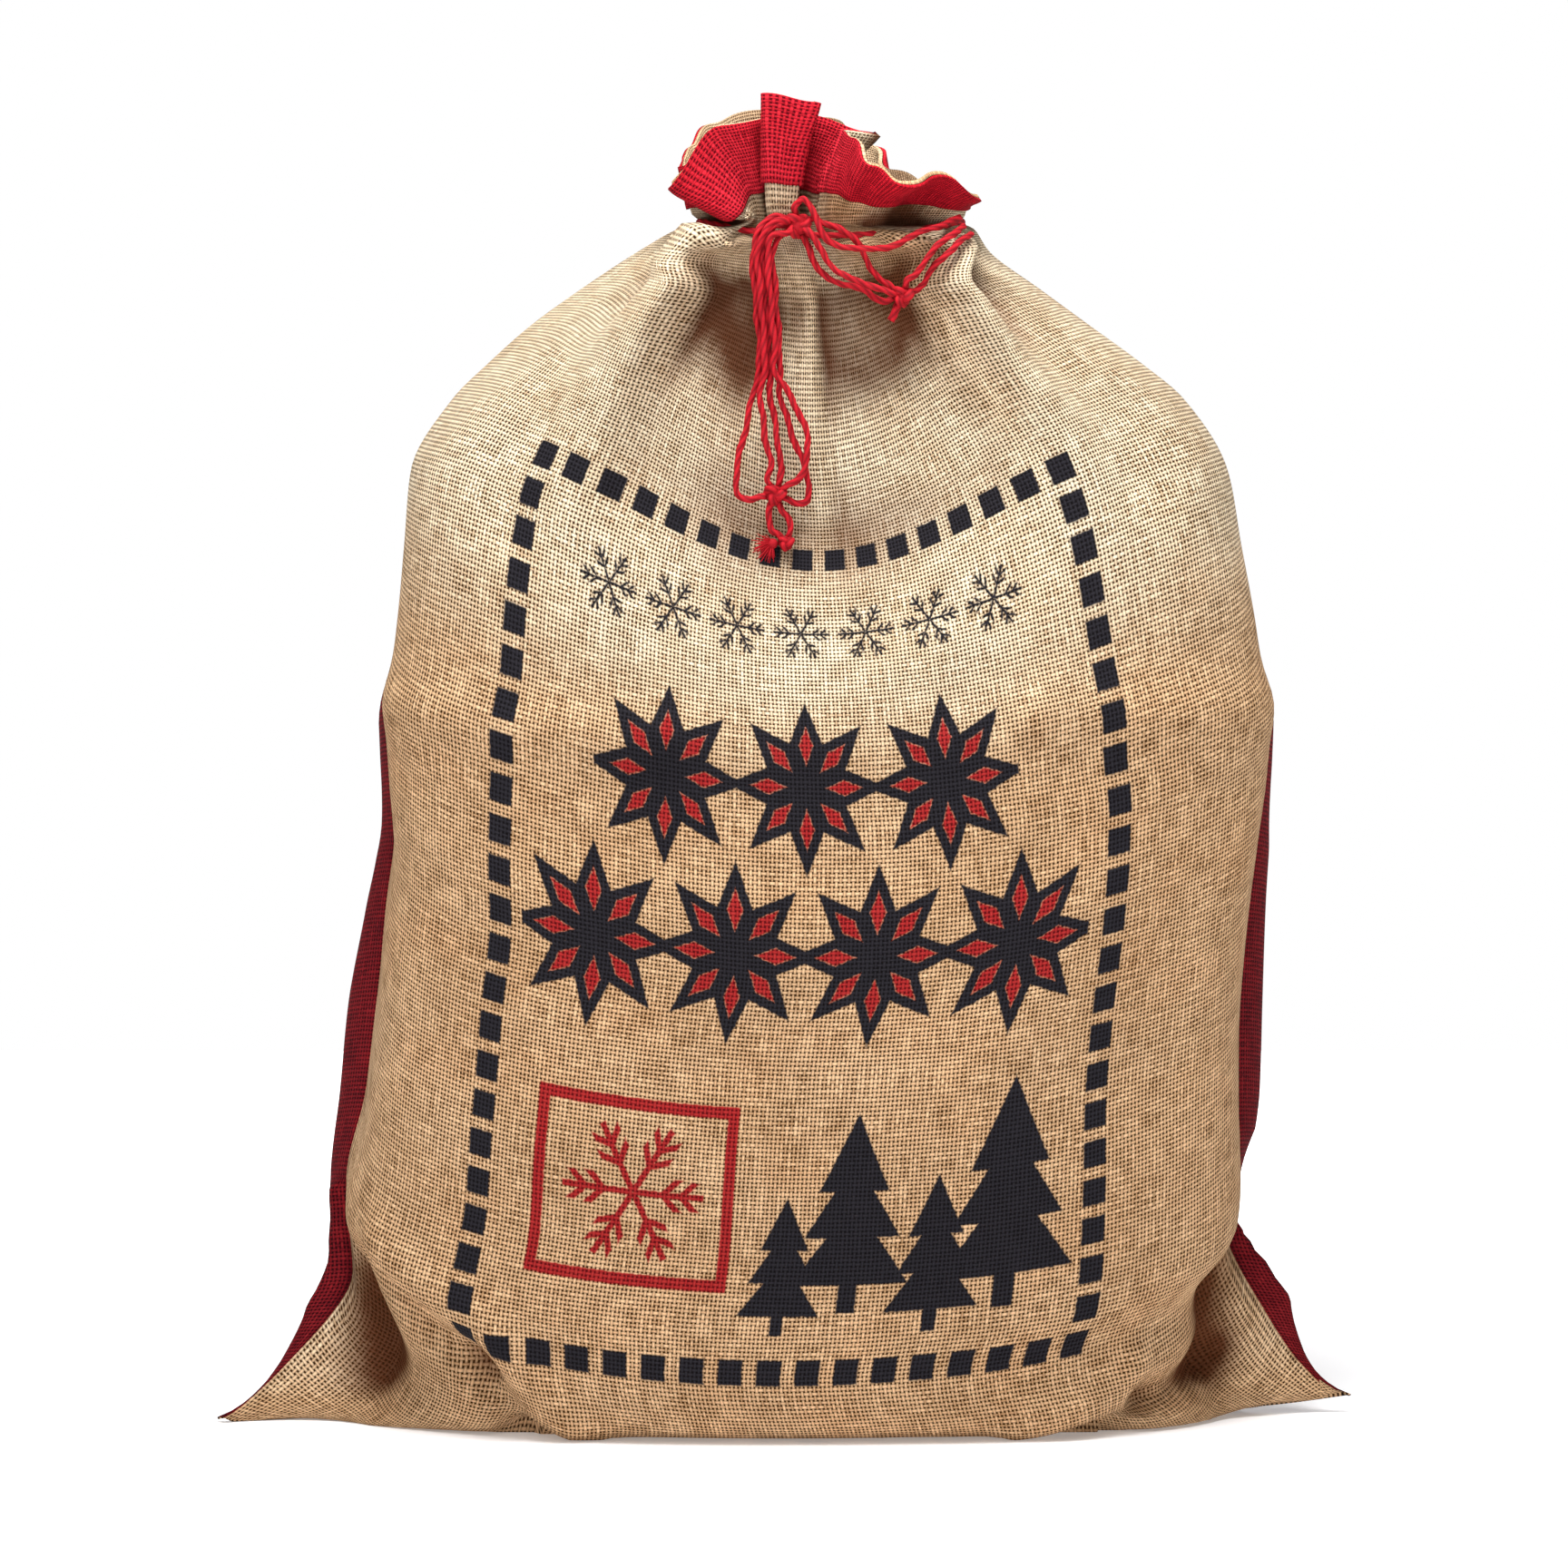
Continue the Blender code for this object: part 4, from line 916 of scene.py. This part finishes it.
EVEN_ROUNDS = 110  # rounds that the surface is evened out before its hollows and slopes are read
HOLLOW_DEEP = 6.5  # mm below the evened surface that gets the full painted shade
HOLLOW_FREE = 2.0  # mm below it that gets no painted shade yet
UP_GAIN = 2.1  # how soon cloth that faces up gets painted light from above
UP_START = 0.15
UPPER_LIGHT_START = 372.0  # v from which the upper cloth gets painted light, whichever way it faces
UPPER_LIGHT_FULL = 452.0
UPPER_LIGHT_SHARE = 0.95


def evened(grid):
    """The grid with its folds evened out; its border stays."""
    even = grid.copy()
    for _ in range(EVEN_ROUNDS):
        for axis in (0, 1):
            even = np.moveaxis(even, axis, 0)
            even[1:-1] = (even[:-2] + 2 * even[1:-1] + even[2:]) / 4
            even = np.moveaxis(even, 0, axis)
    return even


def hollow_shade_mask(grid, even, side):
    """How deep each point lies under the evened-out surface, from 0 to 1: the mask of painted shade."""
    depth = ((even - grid) * unit(normals_of(even, side))).sum(axis=-1)
    return np.clip((depth - HOLLOW_FREE) / HOLLOW_DEEP, 0, 1)


def add_sheet(name, outer, inner, side, places, materials):
    """A closed thin sheet with its cut's places as UV. materials: outer face, inner face, edge."""
    rows, cols = outer.shape[:2]
    size = rows * cols
    faces = []
    for row in range(rows - 1):
        for col in range(cols - 1):
            a = row * cols + col
            faces.append([a, a + 1, a + cols + 1, a + cols])
    inner_start = len(faces)
    faces += [[size + i for i in face[::-1]] for face in faces]
    rim = list(range(cols))
    rim += [r * cols + cols - 1 for r in range(1, rows)]
    rim += [(rows - 1) * cols + c for c in range(cols - 2, -1, -1)]
    rim += [r * cols for r in range(rows - 2, 0, -1)]
    rim_start = len(faces)
    faces += [[b, a, size + a, size + b] for a, b in zip(rim, rim[1:] + rim[:1])]
    if side == BACK:
        faces = [face[::-1] for face in faces]
    points = np.concatenate([outer.reshape(-1, 3), inner.reshape(-1, 3)])
    obj = add_mesh(name, points, faces, materials)
    slots = np.zeros(len(faces), int)
    slots[inner_start:rim_start] = 1
    slots[rim_start:] = 2
    obj.data.polygons.foreach_set("material_index", slots)
    even = evened(outer)
    # Painted light where the cloth faces up and on its upper part, and the mask of painted shade in its
    # hollows.
    up = unit(normals_of(even, side))[..., 2]
    upper_light = np.clip((places[..., 1] - UPPER_LIGHT_START) / (UPPER_LIGHT_FULL - UPPER_LIGHT_START), 0, 1)
    pale = np.clip(up * UP_GAIN - UP_START + UPPER_LIGHT_SHARE * upper_light, 0, 1)
    values = {"hollow": hollow_shade_mask(outer, even, side), "facing_up": pale}
    lay_out(
        obj,
        np.tile(places.reshape(-1, 2), (2, 1)),
        {key: np.tile(value.ravel(), 2) for key, value in values.items()},
    )
    return obj


def build_cloth():
    count = round(PANEL_HEIGHT / ROW_STEP)
    vs = np.linspace(0, PANEL_HEIGHT, count + 1)
    vs[np.abs(vs - HEADING_START).argmin()] = HEADING_START
    us = columns_of(FRONT_FOLDS, FRONT_STEPS), columns_of(BACK_FOLDS, BACK_STEPS)
    grids, normals = sack_grids(us, vs)
    natural = cloth_material("natural_jute", JUTE)
    printed = cloth_material("printed_jute", JUTE, sack_print)
    dark = cloth_material("dark_red_jute", DARK_RED)
    bright = cloth_material("red_heading", BRIGHT_RED)
    sheets = (("front", FRONT, printed, "jute"), ("back", BACK, dark, "dark_red_jute"))
    for grid, normal, u, (name, side, outside, slot) in zip(grids, normals, us, sheets):
        across, up = np.meshgrid(u * PANEL_WIDTH / 2, vs)
        places = np.stack([across, up], axis=-1)
        outer = grid + parted(grid, side)
        inner = outer - normal * CLOTH
        below = np.maximum(-inner[..., 2], 0)
        outer[..., 2] += below
        inner[..., 2] += below
        cloth = add_sheet(name + "_cloth", outer, inner, side, places, (outside, natural, natural))
        mounted(cloth, slot, name + "_panel")
        top = slice(int(np.argmin(np.abs(vs - HEADING_START))), None)
        near = (outer + normal * GAP)[top]
        far = near + normal[top] * HEADING_CLOTH
        strip = add_sheet(name + "_heading", far, near, side, places[top], (bright, bright, bright))
        mounted(strip, "red_heading", "heading_" + name)


# --- Tie ---


def knot_port(name, angle, tilt):
    """The point just off a knot's surface in the given direction."""
    knot = KNOTS[name]
    flat = math.cos(math.radians(tilt))
    across = math.cos(math.radians(angle)) * flat
    up = math.sin(math.radians(angle)) * flat
    way = np.array([across, -math.sin(math.radians(tilt)), up])
    reach = 1 / np.linalg.norm(way / np.array(knot.radii))
    return np.array(knot.middle) + way * (reach + KNOT_GAP), way


def yarn_route(yarn):
    """The points that a yarn passes through, ends included."""
    points = []
    start, way = knot_port(*yarn.start)
    points += [start, start + way * YARN / 2]
    if yarn.name.startswith("yarn_left"):
        line = np.array(BUNDLE)
        run = np.gradient(line, axis=0)
        side = np.stack([-run[:, 2], 0 * run[:, 0], run[:, 0]], axis=1)
        side /= np.linalg.norm(side, axis=1)[:, None]
        points += list(line + side * yarn.across + np.array([0, -yarn.ahead, 0]))
    points += [np.array(p, float) for p in yarn.points]
    kind, angle, tilt = yarn.end
    if kind == "tie":
        points.append(np.array(TIE_ENDS[angle]))
    elif kind in KNOTS:
        end, way = knot_port(kind, angle, tilt)
        points += [end + way * YARN / 2, end]
    return np.array(points)


CURVE_POINTS = 400


def spaced(points, step):
    """Points at even steps along a smooth curve through the given ones."""
    size = np.concatenate([[0], np.cumsum(np.linalg.norm(np.diff(points, axis=0), axis=1))])
    slope = np.gradient(points, size, axis=0)
    fine = np.linspace(0, size[-1], CURVE_POINTS)
    at = np.clip(np.searchsorted(size, fine, side="right") - 1, 0, len(size) - 2)
    width = (size[at + 1] - size[at])[:, None]
    t = (fine - size[at])[:, None] / width
    curve = cubic(t, points[at], points[at + 1], slope[at] * width, slope[at + 1] * width)
    run = np.concatenate([[0], np.cumsum(np.linalg.norm(np.diff(curve, axis=0), axis=1))])
    even = np.linspace(0, run[-1], max(3, round(run[-1] / step) + 1))
    return np.stack([np.interp(even, run, curve[:, i]) for i in range(3)], axis=1)


TWIST = 6.5  # mm of yarn in one turn of its strands
STRANDS = 3
YARN_STRAY = 0.4  # mm that a yarn strays to each side, with two waves, and less near its ends
STRAY_WAVES = (4.1, 3.1)
STRAY_FADE = 8
SWELL_WAVES = (5.3, 2.1)  # of a yarn's thickness
SWELLS = (0.06, 0.05)
STRAND_DEPTH = 0.26  # how deep the grooves between strands are, as a share of the yarn's radius
PHASE_STEP = 1.3  # from yarn to yarn
YARN_SIDES = 15
YARN_FINE = 0.7  # mm between rings of a yarn's mesh


def frames_along(points, closed=False):
    """Two directions square to a line at each of its points, turning as little as they can."""
    if closed:
        way = unit(np.roll(points, -1, axis=0) - np.roll(points, 1, axis=0))
    else:
        way = unit(np.gradient(points, axis=0))
    first = np.cross(way[0], (0.0, 0.3, 1.0))
    sides = [first / np.linalg.norm(first)]
    for direction in way[1:]:
        side = sides[-1] - direction * np.dot(sides[-1], direction)
        sides.append(side / np.linalg.norm(side))
    sides = np.array(sides)
    return sides, np.cross(way, sides)


# The last field of a lump is how much of its colour stays: 1 on a strand's crown, less in the painted shade
# of a groove.
Lump = namedtuple("Lump", "points faces places strands")


def twisted(line, diameter, closed=False, phase=0.0):
    """A tube whose skin shows the strands that the yarn is twisted from."""
    sides, tops = frames_along(line, closed)
    run = np.concatenate([[0], np.cumsum(np.linalg.norm(np.diff(line, axis=0), axis=1))])
    if not closed:
        fade = np.clip(np.minimum(run, run[-1] - run) / STRAY_FADE, 0, 1)[:, None]
        for wave, times, way in zip(STRAY_WAVES, (1, 2), (sides, tops)):
            line = line + fade * YARN_STRAY * np.sin(run / wave + times * phase)[:, None] * way
    angle = np.linspace(0, 2 * math.pi, YARN_SIDES, endpoint=False)
    turns = angle[None, :] - 2 * math.pi * run[:, None] / TWIST / STRANDS + phase
    lobes = np.abs(np.cos(STRANDS * turns / 2))
    uneven = np.ones(len(run))
    for swell, wave, times in zip(SWELLS, SWELL_WAVES, (1, 2)):
        uneven += swell * np.sin(run / wave + times * phase)
    radius = diameter / 2 * (1 - STRAND_DEPTH * (1 - lobes)) * uneven[:, None]
    points = line[:, None] + radius[..., None] * (
        np.cos(angle)[None, :, None] * sides[:, None] + np.sin(angle)[None, :, None] * tops[:, None]
    )
    rings = len(line)
    faces = []
    for ring in range(rings if closed else rings - 1):
        nxt = (ring + 1) % rings
        a, b = ring * YARN_SIDES, nxt * YARN_SIDES
        for i in range(YARN_SIDES):
            j = (i + 1) % YARN_SIDES
            faces.append([a + i, a + j, b + j, b + i])
    if not closed:
        faces.append(list(range(YARN_SIDES))[::-1])
        faces.append([(rings - 1) * YARN_SIDES + i for i in range(YARN_SIDES)])
    along = np.repeat(run, YARN_SIDES)
    round_it = np.tile(angle / (2 * math.pi), rings) * diameter * math.pi
    return Lump(points.reshape(-1, 3), faces, np.stack([round_it, along], axis=1), lobes.ravel())


def ball(middle, radii, rows=9, cols=14):
    """A closed rounded lump."""
    points = [(0, 0, -1.0)]
    for row in range(1, rows):
        lean = math.pi * row / rows
        for col in range(cols):
            turn = 2 * math.pi * col / cols
            wide = math.sin(lean)
            points.append((wide * math.cos(turn), wide * math.sin(turn), -math.cos(lean)))
    points.append((0, 0, 1.0))
    faces = []
    last = len(points) - 1
    for col in range(cols):
        nxt = (col + 1) % cols
        faces.append([0, 1 + nxt, 1 + col])
        faces.append([last, last - cols + col, last - cols + nxt])
        for row in range(rows - 2):
            a = 1 + row * cols
            faces.append([a + col, a + nxt, a + cols + nxt, a + cols + col])
    points = np.array(middle) + np.array(points) * np.array(radii)
    # The whole lump is mixed part way toward the painted groove shade.
    return Lump(points, faces, points[:, [0, 2]], np.full(len(points), 0.6))


STRAND_RINGS = 7
STRAND_THINS = 0.6  # share of its width that a loose strand loses towards its tip
STRAND_FADES = 0.3


def strand(start, way, size, drop, width):
    """A thin four-sided strand that thins out and droops."""
    share = np.linspace(0, 1, STRAND_RINGS)
    line = np.array(start) + np.outer(share * size, way) - np.outer(share**2 * drop, (0, 0, 1.0))
    sides, tops = frames_along(line)
    corners = [(math.cos(a), math.sin(a)) for a in (0, math.pi / 2, math.pi, 3 * math.pi / 2)]
    points = [
        place + width * (1 - STRAND_THINS * s) * (c * side + d * top)
        for place, s, side, top in zip(line, share, sides, tops)
        for c, d in corners
    ]
    last = 4 * (STRAND_RINGS - 1)
    faces = [[3, 2, 1, 0], [last + i for i in range(4)]]
    for ring in range(0, last, 4):
        for i in range(4):
            j = (i + 1) % 4
            faces.append([ring + i, ring + j, ring + 4 + j, ring + 4 + i])
    points = np.array(points)
    # Towards its tip a strand's colour is mixed part way toward the painted groove shade.
    return Lump(points, faces, points[:, [0, 2]], np.repeat(1 - STRAND_FADES * share, 4))


def yarn_piece(name, mat, lumps):
    """One piece from several lumps, with its places along the yarn as UV."""
    points = np.concatenate([lump.points for lump in lumps])
    starts = np.cumsum([0] + [len(lump.points) for lump in lumps])
    faces = [[start + i for i in face] for start, lump in zip(starts, lumps) for face in lump.faces]
    obj = add_mesh(name, points, faces, [mat])
    strands = np.concatenate([lump.strands for lump in lumps])
    lay_out(obj, np.concatenate([lump.places for lump in lumps]), {"strands": strands})
    return obj


# The yarn's colours from dark to light, and the painted shade in the grooves between its strands.
YARN_DARK, YARN_LIGHT, GROOVE_SHADE = (0.34, 0.003, 0.010), (0.66, 0.010, 0.022), (0.16, 0.001, 0.005)
YARN_ROUGH = 0.75
YARN_SHINE = 0.2
YARN_BUMP = (0.5, 0.25 * MM)


def yarn_material():
    """Matt cotton with fine fibres along its strands and painted shade in the grooves between them."""
    shade = Shade("red_cotton")
    x, y = shade.cloth_place()
    place = shade.node("ShaderNodeTexCoord").outputs["Object"]
    fibres = shade.noise(shade.vector(x * 2 + y * 1.1, y * 0.5), 2.2, 4.0, 0.7)
    patches = shade.noise(place, 160.0, 2.0)
    tone = (fibres - 0.5) * 1.2 + (patches - 0.5) * 0.6 + 0.5
    colour = shade.ramp(tone, [(0.2, YARN_DARK), (0.8, YARN_LIGHT)])
    # Painted shade in the grooves between the strands.
    colour = shade.mix(shade.attribute("strands"), GROOVE_SHADE, colour)
    shade.set("Base Color", colour)
    shade.set("Roughness", (fibres - 0.5) * 0.2 + YARN_ROUGH)
    shade.set("Specular IOR Level", YARN_SHINE)
    shade.bump(fibres, *YARN_BUMP)
    return shade.mat


def neck_ring():
    """The closed line of the yarn round the gathered neck."""
    row = level_values(SECTIONS, TIE_LEVEL)
    middle = (row["left"] + row["right"]) / 2
    half = (row["right"] - row["left"]) / 2
    turn = np.linspace(0, 2 * math.pi, RING_POINTS, endpoint=False)
    depth = np.where(np.sin(turn) < 0, row["front"], row["back"])
    power = 2 / CORNER_POWER
    x = middle + (half + TIE_CLEAR) * np.sign(np.cos(turn)) * np.abs(np.cos(turn)) ** power
    y = (depth + RING_DEPTH) * np.sign(np.sin(turn)) * np.abs(np.sin(turn)) ** power
    return np.stack([x, y, row["seam_z"] - RING_DIP * np.sin(turn) ** 2], axis=1)


KNOT_POINTS = 120
KNOT_CORE = 0.78  # share of a knot that is filled under its turns
TURNS_YARN = 3.6
INTO_KNOT = 1.7  # mm that a yarn runs on into a knot
INTO_TIE = 0.8


def knot_line(knot, yarn):
    """A trefoil drawn tight to the knot's size."""
    turn = np.linspace(0, 2 * math.pi, KNOT_POINTS, endpoint=False)
    across = np.sin(turn) + 2 * np.sin(2 * turn)
    up = np.cos(turn) - 2 * np.cos(2 * turn)
    shape = np.stack([across, -np.sin(3 * turn), up], axis=1)
    reach = np.abs(shape).max(axis=0)
    return np.array(knot.middle) + shape / reach * (np.array(knot.radii) - yarn / 2)


def run_on(line, start, end):
    """The line, longer at both ends by so many mm."""
    first = line[0] + unit(line[0] - line[1]) * start
    last = line[-1] + unit(line[-1] - line[-2]) * end
    return np.concatenate([[first], line, [last]])


TASSEL_MIDDLE = (-4.9, -41.2, 386.6)
TASSEL_HEAD = 2.3
TASSEL_STRANDS = 34
STRAND_WIDTH = 0.42
# Degrees round the fan and out of it, and the share of them from strand to strand.
TURN_FIRST, TURN_SPAN, TURN_STEP = 118, 165, 0.618
TILT_FIRST, TILT_SPAN, TILT_STEP = -28, 70, 0.445
STRAND_SIZE, SIZE_VARIES, SIZE_WAVE = 7.4, 2.2, 2.3
STRAND_DROOP, DROOP_VARIES, DROOP_WAVE = 1.2, 0.9, 1.7


def tassel_lumps():
    """A small head with loose strands fanned out to its left and down."""
    lumps = [ball(TASSEL_MIDDLE, (TASSEL_HEAD,) * 3)]
    for i in range(TASSEL_STRANDS):
        turn = math.radians(TURN_FIRST + TURN_SPAN * (i * TURN_STEP % 1))
        tilt = math.radians(TILT_FIRST + TILT_SPAN * (i * TILT_STEP % 1))
        way = (math.cos(turn) * math.cos(tilt), -math.sin(tilt), math.sin(turn) * math.cos(tilt))
        size = STRAND_SIZE + SIZE_VARIES * math.sin(SIZE_WAVE * i)
        droop = STRAND_DROOP + DROOP_VARIES * math.cos(DROOP_WAVE * i)
        lumps.append(strand(TASSEL_MIDDLE, way, size, droop, STRAND_WIDTH))
    return lumps


def build_tie():
    red = yarn_material()
    ring = yarn_piece("ring_yarn", red, [twisted(neck_ring(), YARN, closed=True)])
    mounted(ring, "red_yarn", "drawstring_ring")
    for name, knot in KNOTS.items():
        turns = twisted(knot_line(knot, YARN), TURNS_YARN, closed=True)
        core = ball(knot.middle, np.array(knot.radii) * KNOT_CORE)
        mounted(yarn_piece(name + "_turns", red, [turns, core]), "red_yarn", name)
    mounted(yarn_piece("tassel_strands", red, tassel_lumps()), "red_yarn", "tassel")
    on_cord = {
        "yarn_left_1": ["knot_front_turns"],
        "yarn_left_2": ["knot_lower_turns"],
        "yarn_left_5": ["knot_end_turns", "tassel_strands"],
        "yarn_right_3": ["knot_right_turns"],
    }
    lines = {yarn.name: spaced(yarn_route(yarn), YARN_FINE) for yarn in YARNS}
    for i, yarn in enumerate(YARNS):
        line = lines[yarn.name]
        size = STUB_YARN if yarn.name.endswith("stub") else YARN
        ends = {"tie": INTO_TIE, "free": 0.0}
        mesh_line = run_on(line, INTO_KNOT, ends.get(yarn.end[0], INTO_KNOT))
        piece = yarn_piece(yarn.name + "_twist", red, [twisted(mesh_line, size, phase=PHASE_STEP * i)])
        mounted(piece, "red_yarn", yarn.name)
        if yarn.name in SHORT_YARNS:
            on_cord.setdefault(SHORT_YARNS[yarn.name], []).append(piece.name)
    for yarn in YARNS:
        if yarn.name in SHORT_YARNS:
            continue
        line = lines[yarn.name]
        "object" if yarn.end[0] == "tie" else "knot"


# --- Room ---

FLOOR_COLOUR = (0.93, 0.93, 0.94)
FLOOR_REACH = 1500.0
Lamp = namedtuple("Lamp", "name place size energy")
LAMPS = [
    Lamp("top", (-0.05, -0.52, 1.75), 0.9, 40.0),
    Lamp("key", (-0.35, -1.7, 1.5), 0.9, 7.0),
    Lamp("back", (0.3, 1.9, 1.6), 1.4, 12.0),
]
LAMPS_AIM = (0, 0, 0.28)
HORIZON_LIGHT = 1.0  # of the backdrop up to the horizon's height, and of the sky over it
SKY_LIGHT = 0.10
HORIZON, HORIZON_SOFT = 0.14, 0.08
FLOOR_DROP = 0.1  # mm under the sack
FLOOR_GLOW = 0.22  # of the floor near the sack, and how far out it gets as light as the backdrop
GLOW_START = 360.0
GLOW_FULL = 900.0


def build_room():
    corners = [(x * FLOOR_REACH, y * FLOOR_REACH, 0) for x, y in ((-1, -1), (1, -1), (1, 1), (-1, 1))]
    floor = add_mesh("floor", corners, [[0, 1, 2, 3]], [])
    shade = Shade("floor")
    shade.set("Base Color", (*FLOOR_COLOUR, 1))
    shade.set("Roughness", 0.6)
    shade.set("Emission Color", (1, 1, 1, 1))
    place = shade.node("ShaderNodeTexCoord").outputs["Object"]
    split = shade.node("ShaderNodeSeparateXYZ", Vector=place)
    x, y = (Value(shade.tree, split.outputs[i]) / MM for i in (0, 1))
    far = ((x * x + y * y).op("SQRT") - GLOW_START) / (GLOW_FULL - GLOW_START)
    shade.set("Emission Strength", far.clamp() * (1 - FLOOR_GLOW) + FLOOR_GLOW)
    floor.data.materials.append(shade.mat)
    floor.location.z = -FLOOR_DROP * MM
    for lamp in LAMPS:
        light = bpy.data.objects.new(lamp.name, bpy.data.lights.new(lamp.name, "AREA"))
        light.data.energy = lamp.energy
        light.data.size = lamp.size
        light.location = lamp.place
        aim = Vector(LAMPS_AIM) - light.location
        light.rotation_euler = aim.to_track_quat("-Z", "Y").to_euler()
        scene.collection.objects.link(light)
    world = bpy.data.worlds.new("studio")
    world.use_nodes = True
    nodes = world.node_tree.nodes
    links = world.node_tree.links
    split = nodes.new("ShaderNodeSeparateXYZ")
    links.new(nodes.new("ShaderNodeTexCoord").outputs["Generated"], split.inputs[0])
    height = Value(world.node_tree, split.outputs[2])
    glow = height.less(HORIZON, HORIZON_SOFT) * (HORIZON_LIGHT - SKY_LIGHT) + SKY_LIGHT
    links.new(glow.source, nodes["Background"].inputs["Strength"])
    nodes["Background"].inputs["Color"].default_value = (1, 1, 1, 1)
    scene.world = world
    scene.view_settings.view_transform = "Standard"


add_camera()
build_tie()
build_cloth()
build_room()
